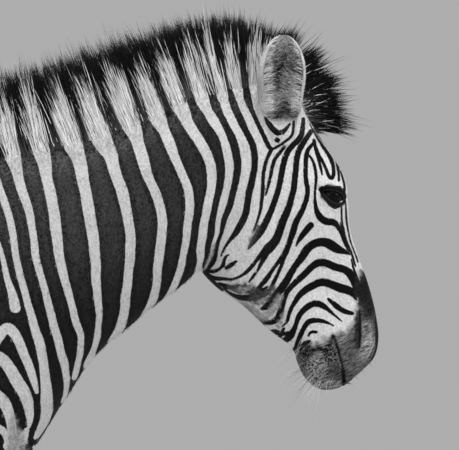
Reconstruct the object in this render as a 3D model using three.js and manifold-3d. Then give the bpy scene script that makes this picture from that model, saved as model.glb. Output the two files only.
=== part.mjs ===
// A plains zebra standing square at rest, neck level and head hanging: a still, life-size model.
// Millimetres, +Z up. The animal faces +X, its right side is at -Y, and the soles stand on z = 0.
// Its origin is at the middle of its own box, on the floor.
//
// Every part of the body is a loft: cross-sections strung along it, each an oval drawn between two
// points of the side view. A section is written as
//     [forward, up,  forward, up,  across, half width, taper, squareness]
// the first pair being its upper or front end and the second its lower or rear end. Across is how far
// its middle stands from the middle plane, taper widens it towards the first end (or, when negative,
// the second), and squareness is 2 for an ellipse and more for a boxier oval.

import * as THREE from "three";
import { mergeVertices } from "three/addons/utils/BufferGeometryUtils.js";
import Module from "manifold-3d";

const wasm = await Module();
wasm.setup();

// ---- Driving dimensions ----

const GAP = 0.35; // clearance between two parts that meet
const CUT_HALF = 0.25; // half the width of a thin cut through the body
const SHOULDER_CUT = 880; // height where a foreleg is parted from the shoulder
const THIGH_CUT = 985; // height where a hind leg is parted from the rump
const STANCE_FADE = 1000; // a leg set forward or back leans only below this height
const HIND_LEG_LEAD = 90; // the left hind foot stands this far ahead of the right one
const FORE_LEG_LEAD = -35; // and the left forefoot this far behind

const EYE = { forward: 1013, up: 1281, across: 76, radius: 21 };
const MOUTH = { corner: [1034, 1018], lip: [1049, 929], reach: 120, width: 1.6 };
const NOSTRIL = { forward: 1082, up: 1030, across: 58, tilt: 0.25, size: [9, 13, 24] };

// ---- Sections ----

const TRUNK_AND_NECK = [
  [-846, 1118, -848, 1010, 0, 40, 0, 2],
  [-838, 1165, -842, 950, 0, 92, -0.05, 2],
  [-800, 1212, -806, 900, 0, 140, -0.05, 2.1],
  [-720, 1266, -722, 850, 0, 188, -0.05, 2.2],
  [-600, 1312, -600, 806, 0, 222, -0.05, 2.2],
  [-460, 1330, -460, 775, 0, 238, -0.04, 2.2],
  [-300, 1314, -300, 742, 0, 246, -0.06, 2.15],
  [-150, 1288, -150, 712, 0, 258, -0.08, 2.1],
  [0, 1280, 0, 694, 0, 260, -0.12, 2.1],
  [120, 1296, 120, 690, 0, 244, -0.2, 2.1],
  [220, 1325, 220, 694, 0, 218, -0.3, 2.05],
  [300, 1345, 325, 702, 0, 196, -0.32, 2.05],
  [385, 1372, 415, 748, 0, 176, -0.3, 2.05],
  [470, 1393, 462, 815, 0, 158, -0.27, 2.05],
  [555, 1410, 506, 886, 0, 138, -0.24, 2.05],
  [635, 1437, 567, 973, 0, 121, -0.22, 2.05],
  [715, 1473, 634, 1030, 0, 108, -0.2, 2.1],
  [790, 1500, 695, 1078, 0, 97, -0.16, 2.1],
  [850, 1512, 750, 1120, 0, 88, -0.1, 2.15],
  [890, 1500, 800, 1180, 0, 74, 0, 2.2],
  [915, 1460, 850, 1240, 0, 48, 0, 2.2],
];

const HEAD = [
  [926, 1504, 872, 1494, 0, 26, 0, 2],
  [962, 1474, 836, 1462, 0, 52, 0, 2],
  [988, 1424, 812, 1395, 0, 72, 0, 2.1],
  [1023, 1369, 794, 1322, 0, 84, 0.12, 2.2],
  [1053, 1318, 780, 1258, 0, 92, 0.24, 2.3],
  [1060, 1270, 768, 1200, 0, 91, 0.3, 2.4],
  [1064, 1222, 770, 1155, 0, 84, 0.24, 2.4],
  [1080, 1172, 807, 1111, 0, 76, 0.12, 2.4],
  [1097, 1130, 859, 1075, 0, 67, 0.02, 2.3],
  [1107, 1092, 907, 1031, 0, 60, 0, 2.25],
  [1113, 1056, 942, 992, 0, 56, 0, 2.25],
  [1117, 1016, 964, 968, 0, 56, 0, 2.3],
  [1110, 981, 976, 946, 0, 53, -0.05, 2.3],
  [1088, 955, 992, 933, 0, 45, -0.05, 2.2],
  [1068, 937, 1012, 923, 0, 31, 0, 2.1],
  [1056, 930, 1030, 923, 0, 14, 0, 2],
];

const FORE_LEG = [
  [330, 1180, 215, 1160, 106, 24, 0, 2],
  [385, 1090, 180, 1060, 140, 48, 0, 2],
  [432, 985, 176, 960, 148, 64, 0, 2.1],
  [448, 890, 188, 868, 150, 72, 0, 2.1],
  [436, 812, 202, 785, 147, 70, 0.05, 2.1],
  [410, 744, 226, 728, 140, 64, 0.05, 2.1],
  [386, 660, 250, 652, 132, 53, 0, 2.1],
  [368, 560, 266, 556, 126, 43, 0, 2.1],
  [360, 482, 276, 480, 122, 38, 0, 2.1],
  [364, 428, 274, 426, 121, 42, 0.05, 2.4],
  [360, 382, 278, 378, 120, 39, 0.05, 2.4],
  [348, 334, 284, 330, 119, 29, 0, 2.2],
  [343, 250, 286, 248, 118, 26, 0, 2.2],
  [345, 188, 282, 184, 117, 28, 0, 2.1],
  [355, 152, 278, 148, 116, 32, 0, 2.1],
  [362, 112, 296, 98, 115, 28, 0, 2.1],
  [378, 84, 300, 62, 114, 35, 0, 2.1],
  [386, 66, 298, 42, 114, 39, 0, 2.1],
];

const HIND_LEG = [
  [-520, 1240, -690, 1215, 100, 28, 0, 2],
  [-445, 1160, -770, 1120, 136, 62, 0, 2.1],
  [-402, 1060, -826, 1020, 146, 82, 0, 2.1],
  [-384, 960, -836, 930, 149, 86, 0, 2.1],
  [-380, 870, -824, 848, 149, 81, 0, 2.1],
  [-392, 792, -792, 780, 147, 73, 0, 2.1],
  [-426, 716, -758, 706, 143, 63, 0, 2.1],
  [-490, 640, -742, 630, 138, 51, 0, 2.1],
  [-558, 572, -752, 570, 132, 41, 0, 2.1],
  [-596, 524, -764, 530, 129, 37, 0, 2.2],
  [-612, 478, -758, 484, 127, 40, 0, 2.4],
  [-626, 424, -728, 430, 125, 37, 0, 2.4],
  [-640, 364, -710, 366, 123, 30, 0, 2.2],
  [-646, 270, -708, 272, 121, 27, 0, 2.2],
  [-644, 200, -712, 200, 119, 29, 0, 2.1],
  [-636, 160, -716, 156, 118, 33, 0, 2.1],
  [-626, 118, -696, 104, 117, 29, 0, 2.1],
  [-612, 86, -690, 64, 116, 34, 0, 2.1],
  [-604, 68, -692, 44, 116, 38, 0, 2.1],
];

// A hoof runs from the coronet down to the sole, wider at the ground.
const FORE_HOOF = [
  [387, 66, 297, 42, 114, 40, 0, 2.2],
  [401, 36, 294, 22, 114, 46, 0, 2.3],
  [412, 0, 296, 0, 114, 51, 0.05, 2.4],
];
const HIND_HOOF = [
  [-603, 68, -693, 44, 116, 39, 0, 2.2],
  [-590, 36, -694, 22, 116, 43, 0.02, 2.2],
  [-578, 0, -690, 0, 116, 47, 0.05, 2.2],
];

const EAR = [
  [940, 1372, 900, 1372, 62, 22, 0, 2],
  [950, 1412, 888, 1412, 68, 28, 0, 2],
  [955, 1440, 878, 1440, 74, 30, 0, 2],
  [958, 1470, 871, 1470, 80, 30, 0, 2],
  [961, 1500, 869, 1500, 85, 28, 0, 2],
  [959, 1528, 872, 1528, 89, 24, 0, 2],
  [950, 1554, 882, 1554, 92, 18, 0, 2],
  [936, 1573, 896, 1573, 94, 11, 0, 2],
  [924, 1580, 909, 1580, 95, 5, 0, 2],
];
const EAR_RIM = 6; // how much narrower the ear's hollow is than the ear, on each side
const EAR_BACK = 15; // how far the hollow stands out from the ear's middle
const HOLLOW_FOOT = 2; // the hollow starts at this section of the ear

// The mane's sections run from hair tip down to the root, which is sunk in the crest.
const MANE = [
  [172, 1352, 182, 1302, 0, 12, -0.3, 2],
  [240, 1398, 252, 1312, 0, 20, -0.5, 2],
  [320, 1462, 326, 1322, 0, 25, -0.55, 2],
  [400, 1509, 402, 1348, 0, 27, -0.55, 2],
  [505, 1535, 512, 1374, 0, 28, -0.55, 2],
  [625, 1580, 634, 1410, 0, 28, -0.55, 2],
  [730, 1614, 738, 1452, 0, 28, -0.55, 2],
  [810, 1632, 812, 1476, 0, 28, -0.55, 2],
  [872, 1630, 864, 1484, 0, 28, -0.55, 2],
  [934, 1616, 906, 1474, 0, 27, -0.55, 2],
  [996, 1580, 936, 1452, 0, 26, -0.5, 2],
  [1038, 1530, 956, 1430, 0, 25, -0.5, 2],
  [1056, 1476, 966, 1412, 0, 24, -0.45, 2],
  [1062, 1424, 968, 1396, 0, 22, -0.35, 2],
  [1054, 1392, 974, 1384, 0, 14, -0.2, 2],
];

// The dock leaves the croup and hangs; the tuft is the long hair of its lower half.
const DOCK = [
  [-800, 1212, -800, 1150, 0, 30, 0, 2],
  [-846, 1196, -836, 1136, 0, 31, 0, 2],
  [-882, 1150, -842, 1116, 0, 29, 0, 2],
  [-896, 1060, -850, 1054, 0, 24, 0, 2],
  [-896, 960, -858, 960, 0, 20, 0, 2],
  [-894, 860, -864, 860, 0, 17, 0, 2],
  [-896, 780, -866, 780, 0, 18, 0, 2],
];
const TAIL_TUFT = [
  [-897, 779, -865, 779, 0, 19, 0, 2],
  [-906, 700, -858, 700, 0, 28, 0, 2],
  [-914, 600, -852, 600, 0, 36, 0, 2],
  [-914, 500, -856, 500, 0, 34, 0, 2],
  [-904, 420, -866, 420, 0, 22, 0, 2],
  [-892, 372, -880, 372, 0, 8, 0, 2],
];

// Muscle and bone that stand out of the ovals, or hollows that sink in: place, reach and height.
const FORMS = [
  { name: "brow", at: [1012, 92, 1306], reach: 30, by: 8 },
  { name: "cheekbone", at: [1006, 90, 1238], reach: 30, by: 4 },
  { name: "temple hollow", at: [975, 78, 1350], reach: 34, by: -6 },
  { name: "jaw muscle", at: [850, 74, 1190], reach: 70, by: 8 },
  { name: "cheek hollow", at: [990, 66, 1128], reach: 48, by: -7 },
  { name: "nostril wing", at: [1078, 56, 1022], reach: 34, by: 7 },
  { name: "chin", at: [996, 24, 946], reach: 30, by: 4 },
  { name: "throat groove", at: [660, 88, 1100], reach: 70, by: -7 },
  { name: "hip", at: [-405, 200, 1232], reach: 60, by: 12 },
  { name: "flank hollow", at: [-345, 235, 1090], reach: 90, by: -12 },
  { name: "seat bone", at: [-800, 110, 1080], reach: 60, by: 8 },
  { name: "withers hollow", at: [200, 110, 1260], reach: 70, by: -8 },
];

// ---- Lofts ----

// The section at place t along the list, t counting sections from 0, on a Catmull-Rom spline.
function sectionAt(rows, t) {
  const i = Math.min(Math.floor(t), rows.length - 2);
  const f = t - i;
  const before = rows[Math.max(i - 1, 0)];
  const from = rows[i];
  const to = rows[i + 1];
  const after = rows[Math.min(i + 2, rows.length - 1)];
  return from.map((p, c) => {
    const slope = (to[c] - before[c]) / 2;
    const nextSlope = (after[c] - p) / 2;
    const rise = to[c] - p;
    return p + f * (slope + f * (3 * rise - 2 * slope - nextSlope + f * (slope + nextSlope - 2 * rise)));
  });
}

const roundPower = (value, power) => Math.sign(value) * Math.abs(value) ** power;

// One point of a section's oval, at an angle from its first end, with the oval grown by a margin.
function ovalPoint([ax, az, bx, bz, across, half, taper, square], angle, grow) {
  const middle = new THREE.Vector3((ax + bx) / 2, across, (az + bz) / 2);
  const arm = new THREE.Vector3((ax - bx) / 2, 0, (az - bz) / 2);
  arm.setLength(arm.length() + grow);
  const along = roundPower(Math.cos(angle), 2 / square);
  const aside = roundPower(Math.sin(angle), 2 / square) * (half * (1 + taper * along) + grow);
  return middle.addScaledVector(arm, along).add(new THREE.Vector3(0, aside, 0));
}

// Moves a point away from a centre by the forms that reach it.
function withForms(point, centre, forms) {
  const out = point.clone().sub(centre).normalize();
  for (const form of forms) {
    const [x, y, z] = form.at;
    const d = point.distanceTo(new THREE.Vector3(x, Math.sign(point.y) * y, z)) / form.reach;
    point.addScaledVector(out, form.by * Math.exp(-d * d));
  }
  return point;
}

// A closed mesh through the sections, with `around` points to a ring and `steps` rings to a section.
function loft(rows, around, steps, { grow = 0, forms = [] } = {}) {
  const points = [];
  const triangles = [];
  const rings = (rows.length - 1) * steps + 1;
  for (let r = 0; r < rings; r++) {
    const section = sectionAt(rows, r / steps);
    const centre = new THREE.Vector3((section[0] + section[2]) / 2, section[4], (section[1] + section[3]) / 2);
    for (let a = 0; a < around; a++) {
      const point = ovalPoint(section, (2 * Math.PI * a) / around, grow);
      points.push(...withForms(point, centre, forms).toArray());
    }
  }
  for (let r = 0; r + 1 < rings; r++) {
    for (let a = 0; a < around; a++) {
      const p = r * around + a;
      const q = r * around + ((a + 1) % around);
      triangles.push(p, q, p + around, q, q + around, p + around);
    }
  }
  for (const [ring, flip] of [[0, true], [rings - 1, false]]) {
    const first = ring * around;
    const centre = points.length / 3;
    const middle = [0, 1, 2].map((c) => {
      let sum = 0;
      for (let a = 0; a < around; a++) sum += points[3 * (first + a) + c];
      return sum / around;
    });
    points.push(...middle);
    for (let a = 0; a < around; a++) {
      const p = first + a;
      const q = first + ((a + 1) % around);
      triangles.push(...(flip ? [q, p, centre] : [p, q, centre]));
    }
  }
  const geometry = new THREE.BufferGeometry();
  geometry.setAttribute("position", new THREE.Float32BufferAttribute(points, 3));
  geometry.setIndex(triangles);
  return geometry;
}

// ---- Solids ----

// A closed three.js geometry as a manifold-3d solid, turned so that its faces point out.
function solid(geometry) {
  const bare = geometry.clone();
  bare.deleteAttribute("normal");
  bare.deleteAttribute("uv");
  const merged = mergeVertices(bare, 1e-3);
  const make = (triVerts) =>
    new wasm.Manifold(
      new wasm.Mesh({ numProp: 3, vertProperties: merged.attributes.position.array, triVerts }),
    );
  const made = make(new Uint32Array(merged.index.array));
  if (made.volume() > 0) return made;
  return make(new Uint32Array(merged.index.array).reverse());
}

function geometryOf(made) {
  const mesh = made.getMesh();
  const geometry = new THREE.BufferGeometry();
  geometry.setAttribute("position", new THREE.BufferAttribute(mesh.vertProperties, 3));
  geometry.setIndex(new THREE.BufferAttribute(mesh.triVerts, 1));
  return geometry;
}

// The largest body of a solid: a boolean cut can leave a crumb beside the piece that is wanted.
function largest(made) {
  return made.decompose().sort((p, q) => q.volume() - p.volume())[0];
}

// A thin cut square to the middle plane, along a line of the side view: [right of it, left of it].
// Followed from its upper end down, its left is towards the head; from the rear forwards, it is up.
function cutAcross(made, [[x1, z1], [x2, z2]]) {
  const length = Math.hypot(x2 - x1, z2 - z1);
  const normal = [(z1 - z2) / length, 0, (x2 - x1) / length];
  const offset = normal[0] * x1 + normal[2] * z1;
  const left = made.trimByPlane(normal, offset + CUT_HALF);
  const right = made.trimByPlane(normal.map((n) => -n), CUT_HALF - offset);
  return [right, left];
}

// How far forward a lead of the foot carries a point of the leg at a height.
const leadAt = (lead, up) => lead * Math.max(0, 1 - up / STANCE_FADE);

// Sections moved to one side of the body, with the foot set ahead of its usual place by `lead`.
function placed(rows, side, lead = 0) {
  return rows.map(([ax, az, bx, bz, across, ...rest]) => [
    ax + leadAt(lead, az),
    az,
    bx + leadAt(lead, bz),
    bz,
    side * across,
    ...rest,
  ]);
}

// ---- The body ----

const HEAD_CUT = [[858, 1535], [758, 1135]]; // from the crest behind the ears down to the throat
const NECK_CUT = [[232, 1345], [470, 815]]; // from the withers down to the breast
const sides = [
  { side: -1, word: "right", foreLead: 0, hindLead: 0 },
  { side: 1, word: "left", foreLead: FORE_LEG_LEAD, hindLead: HIND_LEG_LEAD },
];

const torso = (grow) => solid(loft(TRUNK_AND_NECK, 22, 2, { grow, forms: FORMS }));
const skull = (grow) => solid(loft(HEAD, 22, 2, { grow, forms: FORMS }));
const body = torso(0);
const bodyAndGap = torso(GAP);
const headSolid = skull(0);
const headAndGap = skull(GAP);

const [trunkHalf, neckHalf] = cutAcross(body, NECK_CUT);
const [neck, wholeHead] = cutAcross(neckHalf.add(headSolid), HEAD_CUT);

// A leg's loft gives its upper part to the trunk, and its lower part stands clear of it.
function leg(rows, side, lead, height) {
  const whole = solid(loft(placed(rows, side, lead), 14, 1));
  const upper = whole.trimByPlane([0, 0, 1], height + CUT_HALF);
  const lower = whole.trimByPlane([0, 0, -1], CUT_HALF - height);
  return { upper, lower: largest(lower.subtract(bodyAndGap)) };
}

// The hoof's wall, cut off level at the sole, below the coronet where the leg ends.
function hoof(rows, side, lead) {
  return solid(loft(placed(rows, side, lead), 14, 1));
}

// Parts a leg from its hoof along the coronet, with the gap on the leg's side.
function aboveCoronet(made, [ax, az, bx, bz], lead) {
  const rear = [bx + leadAt(lead, bz), bz + 2 * CUT_HALF];
  const front = [ax + leadAt(lead, az), az + 2 * CUT_HALF];
  return largest(cutAcross(made, [rear, front])[1]);
}

let trunk = trunkHalf;
const parts = {};
for (const { side, word, foreLead, hindLead } of sides) {
  const fore = leg(FORE_LEG, side, foreLead, SHOULDER_CUT);
  const hind = leg(HIND_LEG, side, hindLead, THIGH_CUT);
  trunk = trunk.add(fore.upper).add(hind.upper);
  parts[`fore_leg_${word}`] = aboveCoronet(fore.lower, FORE_HOOF[0], foreLead);
  parts[`hind_leg_${word}`] = aboveCoronet(hind.lower, HIND_HOOF[0], hindLead);
  parts[`fore_hoof_${word}`] = hoof(FORE_HOOF, side, foreLead);
  parts[`hind_hoof_${word}`] = hoof(HIND_HOOF, side, hindLead);
}
trunk = cutAcross(trunk, NECK_CUT)[0];

// ---- The head's own pieces ----

function ball(radius, side) {
  const geometry = new THREE.SphereGeometry(radius, 12, 8);
  return solid(geometry.translate(EYE.forward, side * EYE.across, EYE.up));
}

// An ear is a pointed scoop, open to the side. Its root is sunk in the skull and cut away there.
function ear(side) {
  const outer = placed(EAR, side);
  const hollow = outer.slice(HOLLOW_FOOT).map(([ax, az, bx, bz, across, half, ...rest]) => [
    ax - EAR_RIM,
    az - 4,
    bx + EAR_RIM,
    bz - 4,
    across + side * EAR_BACK,
    half,
    ...rest,
  ]);
  return solid(loft(outer, 12, 1)).subtract(solid(loft(hollow, 10, 1)));
}

// The line of the closed mouth, a thin slot from the corner round the front of the lips.
function mouthSlot() {
  const [cx, cz] = MOUTH.corner;
  const [lx, lz] = MOUTH.lip;
  const length = Math.hypot(lx - cx, lz - cz) + MOUTH.reach / 4;
  const slot = new THREE.BoxGeometry(MOUTH.width, MOUTH.reach, length);
  slot.translate(0, 0, -length / 2);
  slot.rotateY(Math.atan2(cx - lx, cz - lz));
  return solid(slot.translate(cx, 0, cz));
}

// The muzzle inside its skin, which keeps the slot of the mouth shallow.
const muzzleCore = solid(loft(HEAD, 16, 1, { grow: -7 }));

function nostril(side) {
  const geometry = new THREE.SphereGeometry(1, 10, 6).scale(...NOSTRIL.size);
  geometry.rotateY(NOSTRIL.tilt);
  return solid(geometry.translate(NOSTRIL.forward, side * NOSTRIL.across, NOSTRIL.up));
}

let head = wholeHead.subtract(mouthSlot().subtract(muzzleCore));
for (const { side, word } of sides) {
  head = head.subtract(ball(EYE.radius + GAP, side)).subtract(nostril(side));
  parts[`eye_${word}`] = ball(EYE.radius, side);
  parts[`ear_${word}`] = largest(ear(side).subtract(headAndGap).subtract(bodyAndGap));
}

// ---- Mane and tail ----

const mane = solid(loft(MANE, 8, 1)).subtract(bodyAndGap).subtract(headAndGap);
const dock = solid(loft(DOCK, 10, 1)).subtract(bodyAndGap);
const tuftTop = TAIL_TUFT[0][1];
const tuft = solid(loft(TAIL_TUFT, 10, 2)).trimByPlane([0, 0, -1], CUT_HALF - tuftTop);

Object.assign(parts, {
  trunk: largest(trunk),
  neck: largest(neck),
  head: largest(head),
  mane: largest(mane),
  tail: largest(dock.trimByPlane([0, 0, 1], tuftTop + CUT_HALF)),
  tail_tuft: tuft,
});

// ---- Materials and meshes ----

const coat = new THREE.MeshStandardMaterial({ color: 0xb9b7b2, roughness: 0.85, metalness: 0 });
const hair = new THREE.MeshStandardMaterial({ color: 0x3a3937, roughness: 0.7, metalness: 0 });
const horn = new THREE.MeshStandardMaterial({ color: 0x2b2a28, roughness: 0.5, metalness: 0 });
const eyeball = new THREE.MeshStandardMaterial({ color: 0x0c0b0a, roughness: 0.08, metalness: 0 });

function materialOf(name) {
  if (name.includes("hoof")) return horn;
  if (name.startsWith("eye")) return eyeball;
  if (name === "mane" || name === "tail_tuft") return hair;
  return coat;
}

const zebra = new THREE.Group();
for (const [name, made] of Object.entries(parts)) {
  const mesh = new THREE.Mesh(geometryOf(made), materialOf(name));
  mesh.name = name;
  zebra.add(mesh);
}

// The frame's origin is the middle of the whole animal's box, on the floor.
const box = new THREE.Box3().setFromObject(zebra);
const middle = box.getCenter(new THREE.Vector3());
zebra.position.set(-middle.x, -middle.y, -box.min.z);

export default zebra;
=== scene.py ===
import math

import bmesh
import bpy
import numpy as np
from mathutils import Matrix, Vector


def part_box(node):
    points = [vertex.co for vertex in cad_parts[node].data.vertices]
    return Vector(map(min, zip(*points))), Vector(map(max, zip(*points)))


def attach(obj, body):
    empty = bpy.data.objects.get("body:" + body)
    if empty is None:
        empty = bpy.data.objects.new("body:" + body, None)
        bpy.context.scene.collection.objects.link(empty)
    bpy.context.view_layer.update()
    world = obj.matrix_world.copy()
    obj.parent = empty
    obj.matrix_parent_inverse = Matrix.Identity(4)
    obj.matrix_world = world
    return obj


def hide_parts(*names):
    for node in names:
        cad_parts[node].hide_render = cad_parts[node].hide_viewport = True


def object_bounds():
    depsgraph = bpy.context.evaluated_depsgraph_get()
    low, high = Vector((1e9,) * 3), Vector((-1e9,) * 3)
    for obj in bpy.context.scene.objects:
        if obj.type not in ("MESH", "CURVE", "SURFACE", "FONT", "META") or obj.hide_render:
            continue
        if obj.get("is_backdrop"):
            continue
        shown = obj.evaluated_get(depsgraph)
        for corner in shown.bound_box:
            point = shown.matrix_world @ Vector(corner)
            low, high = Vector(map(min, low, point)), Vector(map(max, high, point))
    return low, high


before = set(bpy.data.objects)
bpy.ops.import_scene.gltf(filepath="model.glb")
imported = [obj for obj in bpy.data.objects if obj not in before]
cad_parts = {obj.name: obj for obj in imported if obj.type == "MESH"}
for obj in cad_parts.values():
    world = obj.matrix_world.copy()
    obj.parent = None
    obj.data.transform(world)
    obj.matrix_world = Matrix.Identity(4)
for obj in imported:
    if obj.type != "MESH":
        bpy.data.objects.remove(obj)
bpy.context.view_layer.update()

# ---- The hide ----
# The body is a mannequin of carved foam under one tanned hide, with no seam to be seen. Its form is
# strung from oval sections along each limb, blended where limbs meet, with muscle and bone raised on it.

# Sections are in millimetres in the maker's drawing: forward and up of the upper or front end, then of
# the lower or rear end, across, half width, taper and squareness.
TRUNK_AND_NECK = [
    [-846, 1118, -848, 1010, 0, 40, 0, 2],
    [-838, 1165, -842, 950, 0, 92, -0.05, 2],
    [-800, 1212, -806, 900, 0, 140, -0.05, 2.1],
    [-720, 1266, -722, 850, 0, 188, -0.05, 2.2],
    [-600, 1312, -600, 806, 0, 222, -0.05, 2.2],
    [-460, 1330, -460, 775, 0, 238, -0.04, 2.2],
    [-300, 1314, -300, 742, 0, 246, -0.06, 2.15],
    [-150, 1288, -150, 712, 0, 258, -0.08, 2.1],
    [0, 1280, 0, 694, 0, 260, -0.12, 2.1],
    [120, 1296, 120, 690, 0, 244, -0.2, 2.1],
    [220, 1325, 220, 694, 0, 218, -0.3, 2.05],
    [300, 1345, 325, 702, 0, 196, -0.32, 2.05],
    [385, 1372, 415, 748, 0, 176, -0.3, 2.05],
    [470, 1393, 462, 815, 0, 158, -0.27, 2.05],
    [555, 1410, 506, 886, 0, 138, -0.24, 2.05],
    [635, 1437, 567, 973, 0, 121, -0.22, 2.05],
    [715, 1473, 634, 1030, 0, 108, -0.2, 2.1],
    [790, 1500, 695, 1078, 0, 97, -0.16, 2.1],
    [850, 1512, 750, 1120, 0, 88, -0.1, 2.15],
    [890, 1500, 800, 1180, 0, 74, 0, 2.2],
    [915, 1460, 850, 1240, 0, 48, 0, 2.2],
]
HEAD = [
    [926, 1504, 872, 1494, 0, 26, 0, 2],
    [962, 1474, 836, 1462, 0, 52, 0, 2],
    [988, 1424, 812, 1395, 0, 72, 0, 2.1],
    [1023, 1369, 794, 1322, 0, 84, 0.12, 2.2],
    [1053, 1318, 780, 1258, 0, 92, 0.24, 2.3],
    [1060, 1270, 768, 1200, 0, 91, 0.3, 2.4],
    [1064, 1222, 770, 1155, 0, 84, 0.24, 2.4],
    [1080, 1172, 807, 1111, 0, 76, 0.12, 2.4],
    [1097, 1130, 859, 1075, 0, 67, 0.02, 2.3],
    [1109, 1092, 907, 1031, 0, 60, 0, 2.25],
    [1117, 1056, 951, 997, 0, 56, 0, 2.25],
    [1121, 1014, 964, 968, 0, 56, 0, 2.3],
    [1113, 979, 976, 946, 0, 53, -0.05, 2.3],
    [1088, 952, 991, 928, 0, 46, -0.05, 2.2],
    [1068, 934, 1008, 917, 0, 33, 0, 2.1],
    [1058, 923, 1027, 914, 0, 16, 0, 2],
]
FORE_LEG = [
    [330, 1180, 215, 1160, 106, 24, 0, 2],
    [385, 1090, 180, 1060, 140, 48, 0, 2],
    [432, 985, 176, 960, 148, 64, 0, 2.1],
    [448, 890, 188, 868, 150, 72, 0, 2.1],
    [436, 812, 202, 785, 147, 70, 0.05, 2.1],
    [410, 744, 226, 728, 140, 64, 0.05, 2.1],
    [386, 660, 250, 652, 132, 53, 0, 2.1],
    [368, 560, 266, 556, 126, 43, 0, 2.1],
    [360, 482, 276, 480, 122, 38, 0, 2.1],
    [364, 428, 274, 426, 121, 42, 0.05, 2.4],
    [360, 382, 278, 378, 120, 39, 0.05, 2.4],
    [348, 334, 284, 330, 119, 29, 0, 2.2],
    [343, 250, 286, 248, 118, 26, 0, 2.2],
    [345, 188, 282, 184, 117, 28, 0, 2.1],
    [355, 152, 278, 148, 116, 32, 0, 2.1],
    [362, 112, 296, 98, 115, 28, 0, 2.1],
    [378, 84, 300, 62, 114, 35, 0, 2.1],
    [386, 66, 298, 42, 114, 39, 0, 2.1],
]
HIND_LEG = [
    [-520, 1240, -690, 1215, 100, 28, 0, 2],
    [-445, 1160, -770, 1120, 136, 62, 0, 2.1],
    [-402, 1060, -826, 1020, 146, 82, 0, 2.1],
    [-384, 960, -836, 930, 149, 86, 0, 2.1],
    [-380, 870, -824, 848, 149, 81, 0, 2.1],
    [-392, 792, -792, 780, 147, 73, 0, 2.1],
    [-426, 716, -758, 706, 143, 63, 0, 2.1],
    [-490, 640, -742, 630, 138, 51, 0, 2.1],
    [-558, 572, -752, 570, 132, 41, 0, 2.1],
    [-596, 524, -764, 530, 129, 37, 0, 2.2],
    [-612, 478, -758, 484, 127, 40, 0, 2.4],
    [-626, 424, -728, 430, 125, 37, 0, 2.4],
    [-640, 364, -710, 366, 123, 30, 0, 2.2],
    [-646, 270, -708, 272, 121, 27, 0, 2.2],
    [-644, 200, -712, 200, 119, 29, 0, 2.1],
    [-636, 160, -716, 156, 118, 33, 0, 2.1],
    [-626, 118, -696, 104, 117, 29, 0, 2.1],
    [-612, 86, -690, 64, 116, 34, 0, 2.1],
    [-604, 68, -692, 44, 116, 38, 0, 2.1],
]
DOCK = [
    [-800, 1212, -800, 1150, 0, 30, 0, 2],
    [-846, 1196, -836, 1136, 0, 31, 0, 2],
    [-882, 1150, -842, 1116, 0, 29, 0, 2],
    [-896, 1060, -850, 1054, 0, 24, 0, 2],
    [-896, 960, -858, 960, 0, 20, 0, 2],
    [-894, 860, -864, 860, 0, 17, 0, 2],
    [-896, 780, -866, 780, 0, 18, 0, 2],
]
EAR = [
    [940, 1372, 900, 1372, 62, 22, 0, 2],
    [950, 1412, 888, 1412, 68, 28, 0, 2],
    [955, 1440, 878, 1440, 74, 30, 0, 2],
    [958, 1470, 871, 1470, 80, 30, 0, 2],
    [961, 1500, 869, 1500, 85, 28, 0, 2],
    [959, 1528, 872, 1528, 89, 24, 0, 2],
    [950, 1554, 882, 1554, 92, 18, 0, 2],
    [936, 1573, 896, 1573, 94, 11, 0, 2],
    [924, 1580, 909, 1580, 95, 5, 0, 2],
]
EYE = np.array([1013.0, 76.0, 1281.0])
EYE_RADIUS = 21.0
COAT_DEPTH = 2.5
STANCE_FADE = 1000.0
HIND_LEG_LEAD = 90.0
FORE_LEG_LEAD = -35.0

# Muscle and bone raised on the ovals, or hollows sunk in them: place, reach and height.
FORMS = {
    "brow": ([1012, 92, 1306], 30, 8),
    "cheekbone": ([1006, 90, 1238], 30, 4),
    "temple hollow": ([975, 78, 1350], 34, -6),
    "jaw muscle": ([850, 74, 1190], 70, 8),
    "cheek hollow": ([990, 66, 1128], 48, -7),
    "nostril wing": ([1078, 56, 1022], 34, 7),
    "chin": ([996, 24, 946], 30, 4),
    "throat groove": ([660, 88, 1100], 70, -7),
    "hip": ([-405, 200, 1232], 60, 12),
    "flank hollow": ([-345, 235, 1090], 90, -12),
    "seat bone": ([-800, 110, 1080], 60, 8),
    "withers hollow": ([200, 110, 1260], 70, -8),
}

# The drawing's own zero is set by the eye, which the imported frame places.
eye_low, eye_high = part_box("eye_right")
ORIGIN = np.array([EYE[0], 0, EYE[2]]) - 500 * np.array(
    [eye_low.x + eye_high.x, 0, eye_low.z + eye_high.z]
)


def to_frame(drawn):
    """Points of the drawing, in millimetres, as points of the frame, in metres."""
    return (np.asarray(drawn, float) - ORIGIN) / 1000


def placed(rows, side, lead=0.0):
    """Sections moved to one side of the body, with the foot set ahead by lead."""
    out = np.array(rows, float)
    for column in (0, 2):
        out[:, column] += lead * np.clip(1 - out[:, column + 1] / STANCE_FADE, 0, None)
    out[:, 4] *= side
    return out


def strung(rows, steps):
    """Sections between the given ones, on a Catmull-Rom spline, steps to each."""
    rows = np.asarray(rows, float)
    padded = np.vstack([rows[:1], rows, rows[-1:]])
    slope = (padded[2:] - padded[:-2]) / 2
    t = np.arange((len(rows) - 1) * steps + 1) / steps
    i = np.minimum(t.astype(int), len(rows) - 2)
    f = (t - i)[:, None]
    rise = rows[i + 1] - rows[i]
    return rows[i] + f * (
        slope[i] + f * (3 * rise - 2 * slope[i] - slope[i + 1] + f * (slope[i] + slope[i + 1] - 2 * rise))
    )


def blended(a, b, width):
    """The union of two distances, filleted over a width."""
    h = np.maximum(width - np.abs(a - b), 0) / width
    return np.minimum(a, b) - h * h * width / 4


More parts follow.
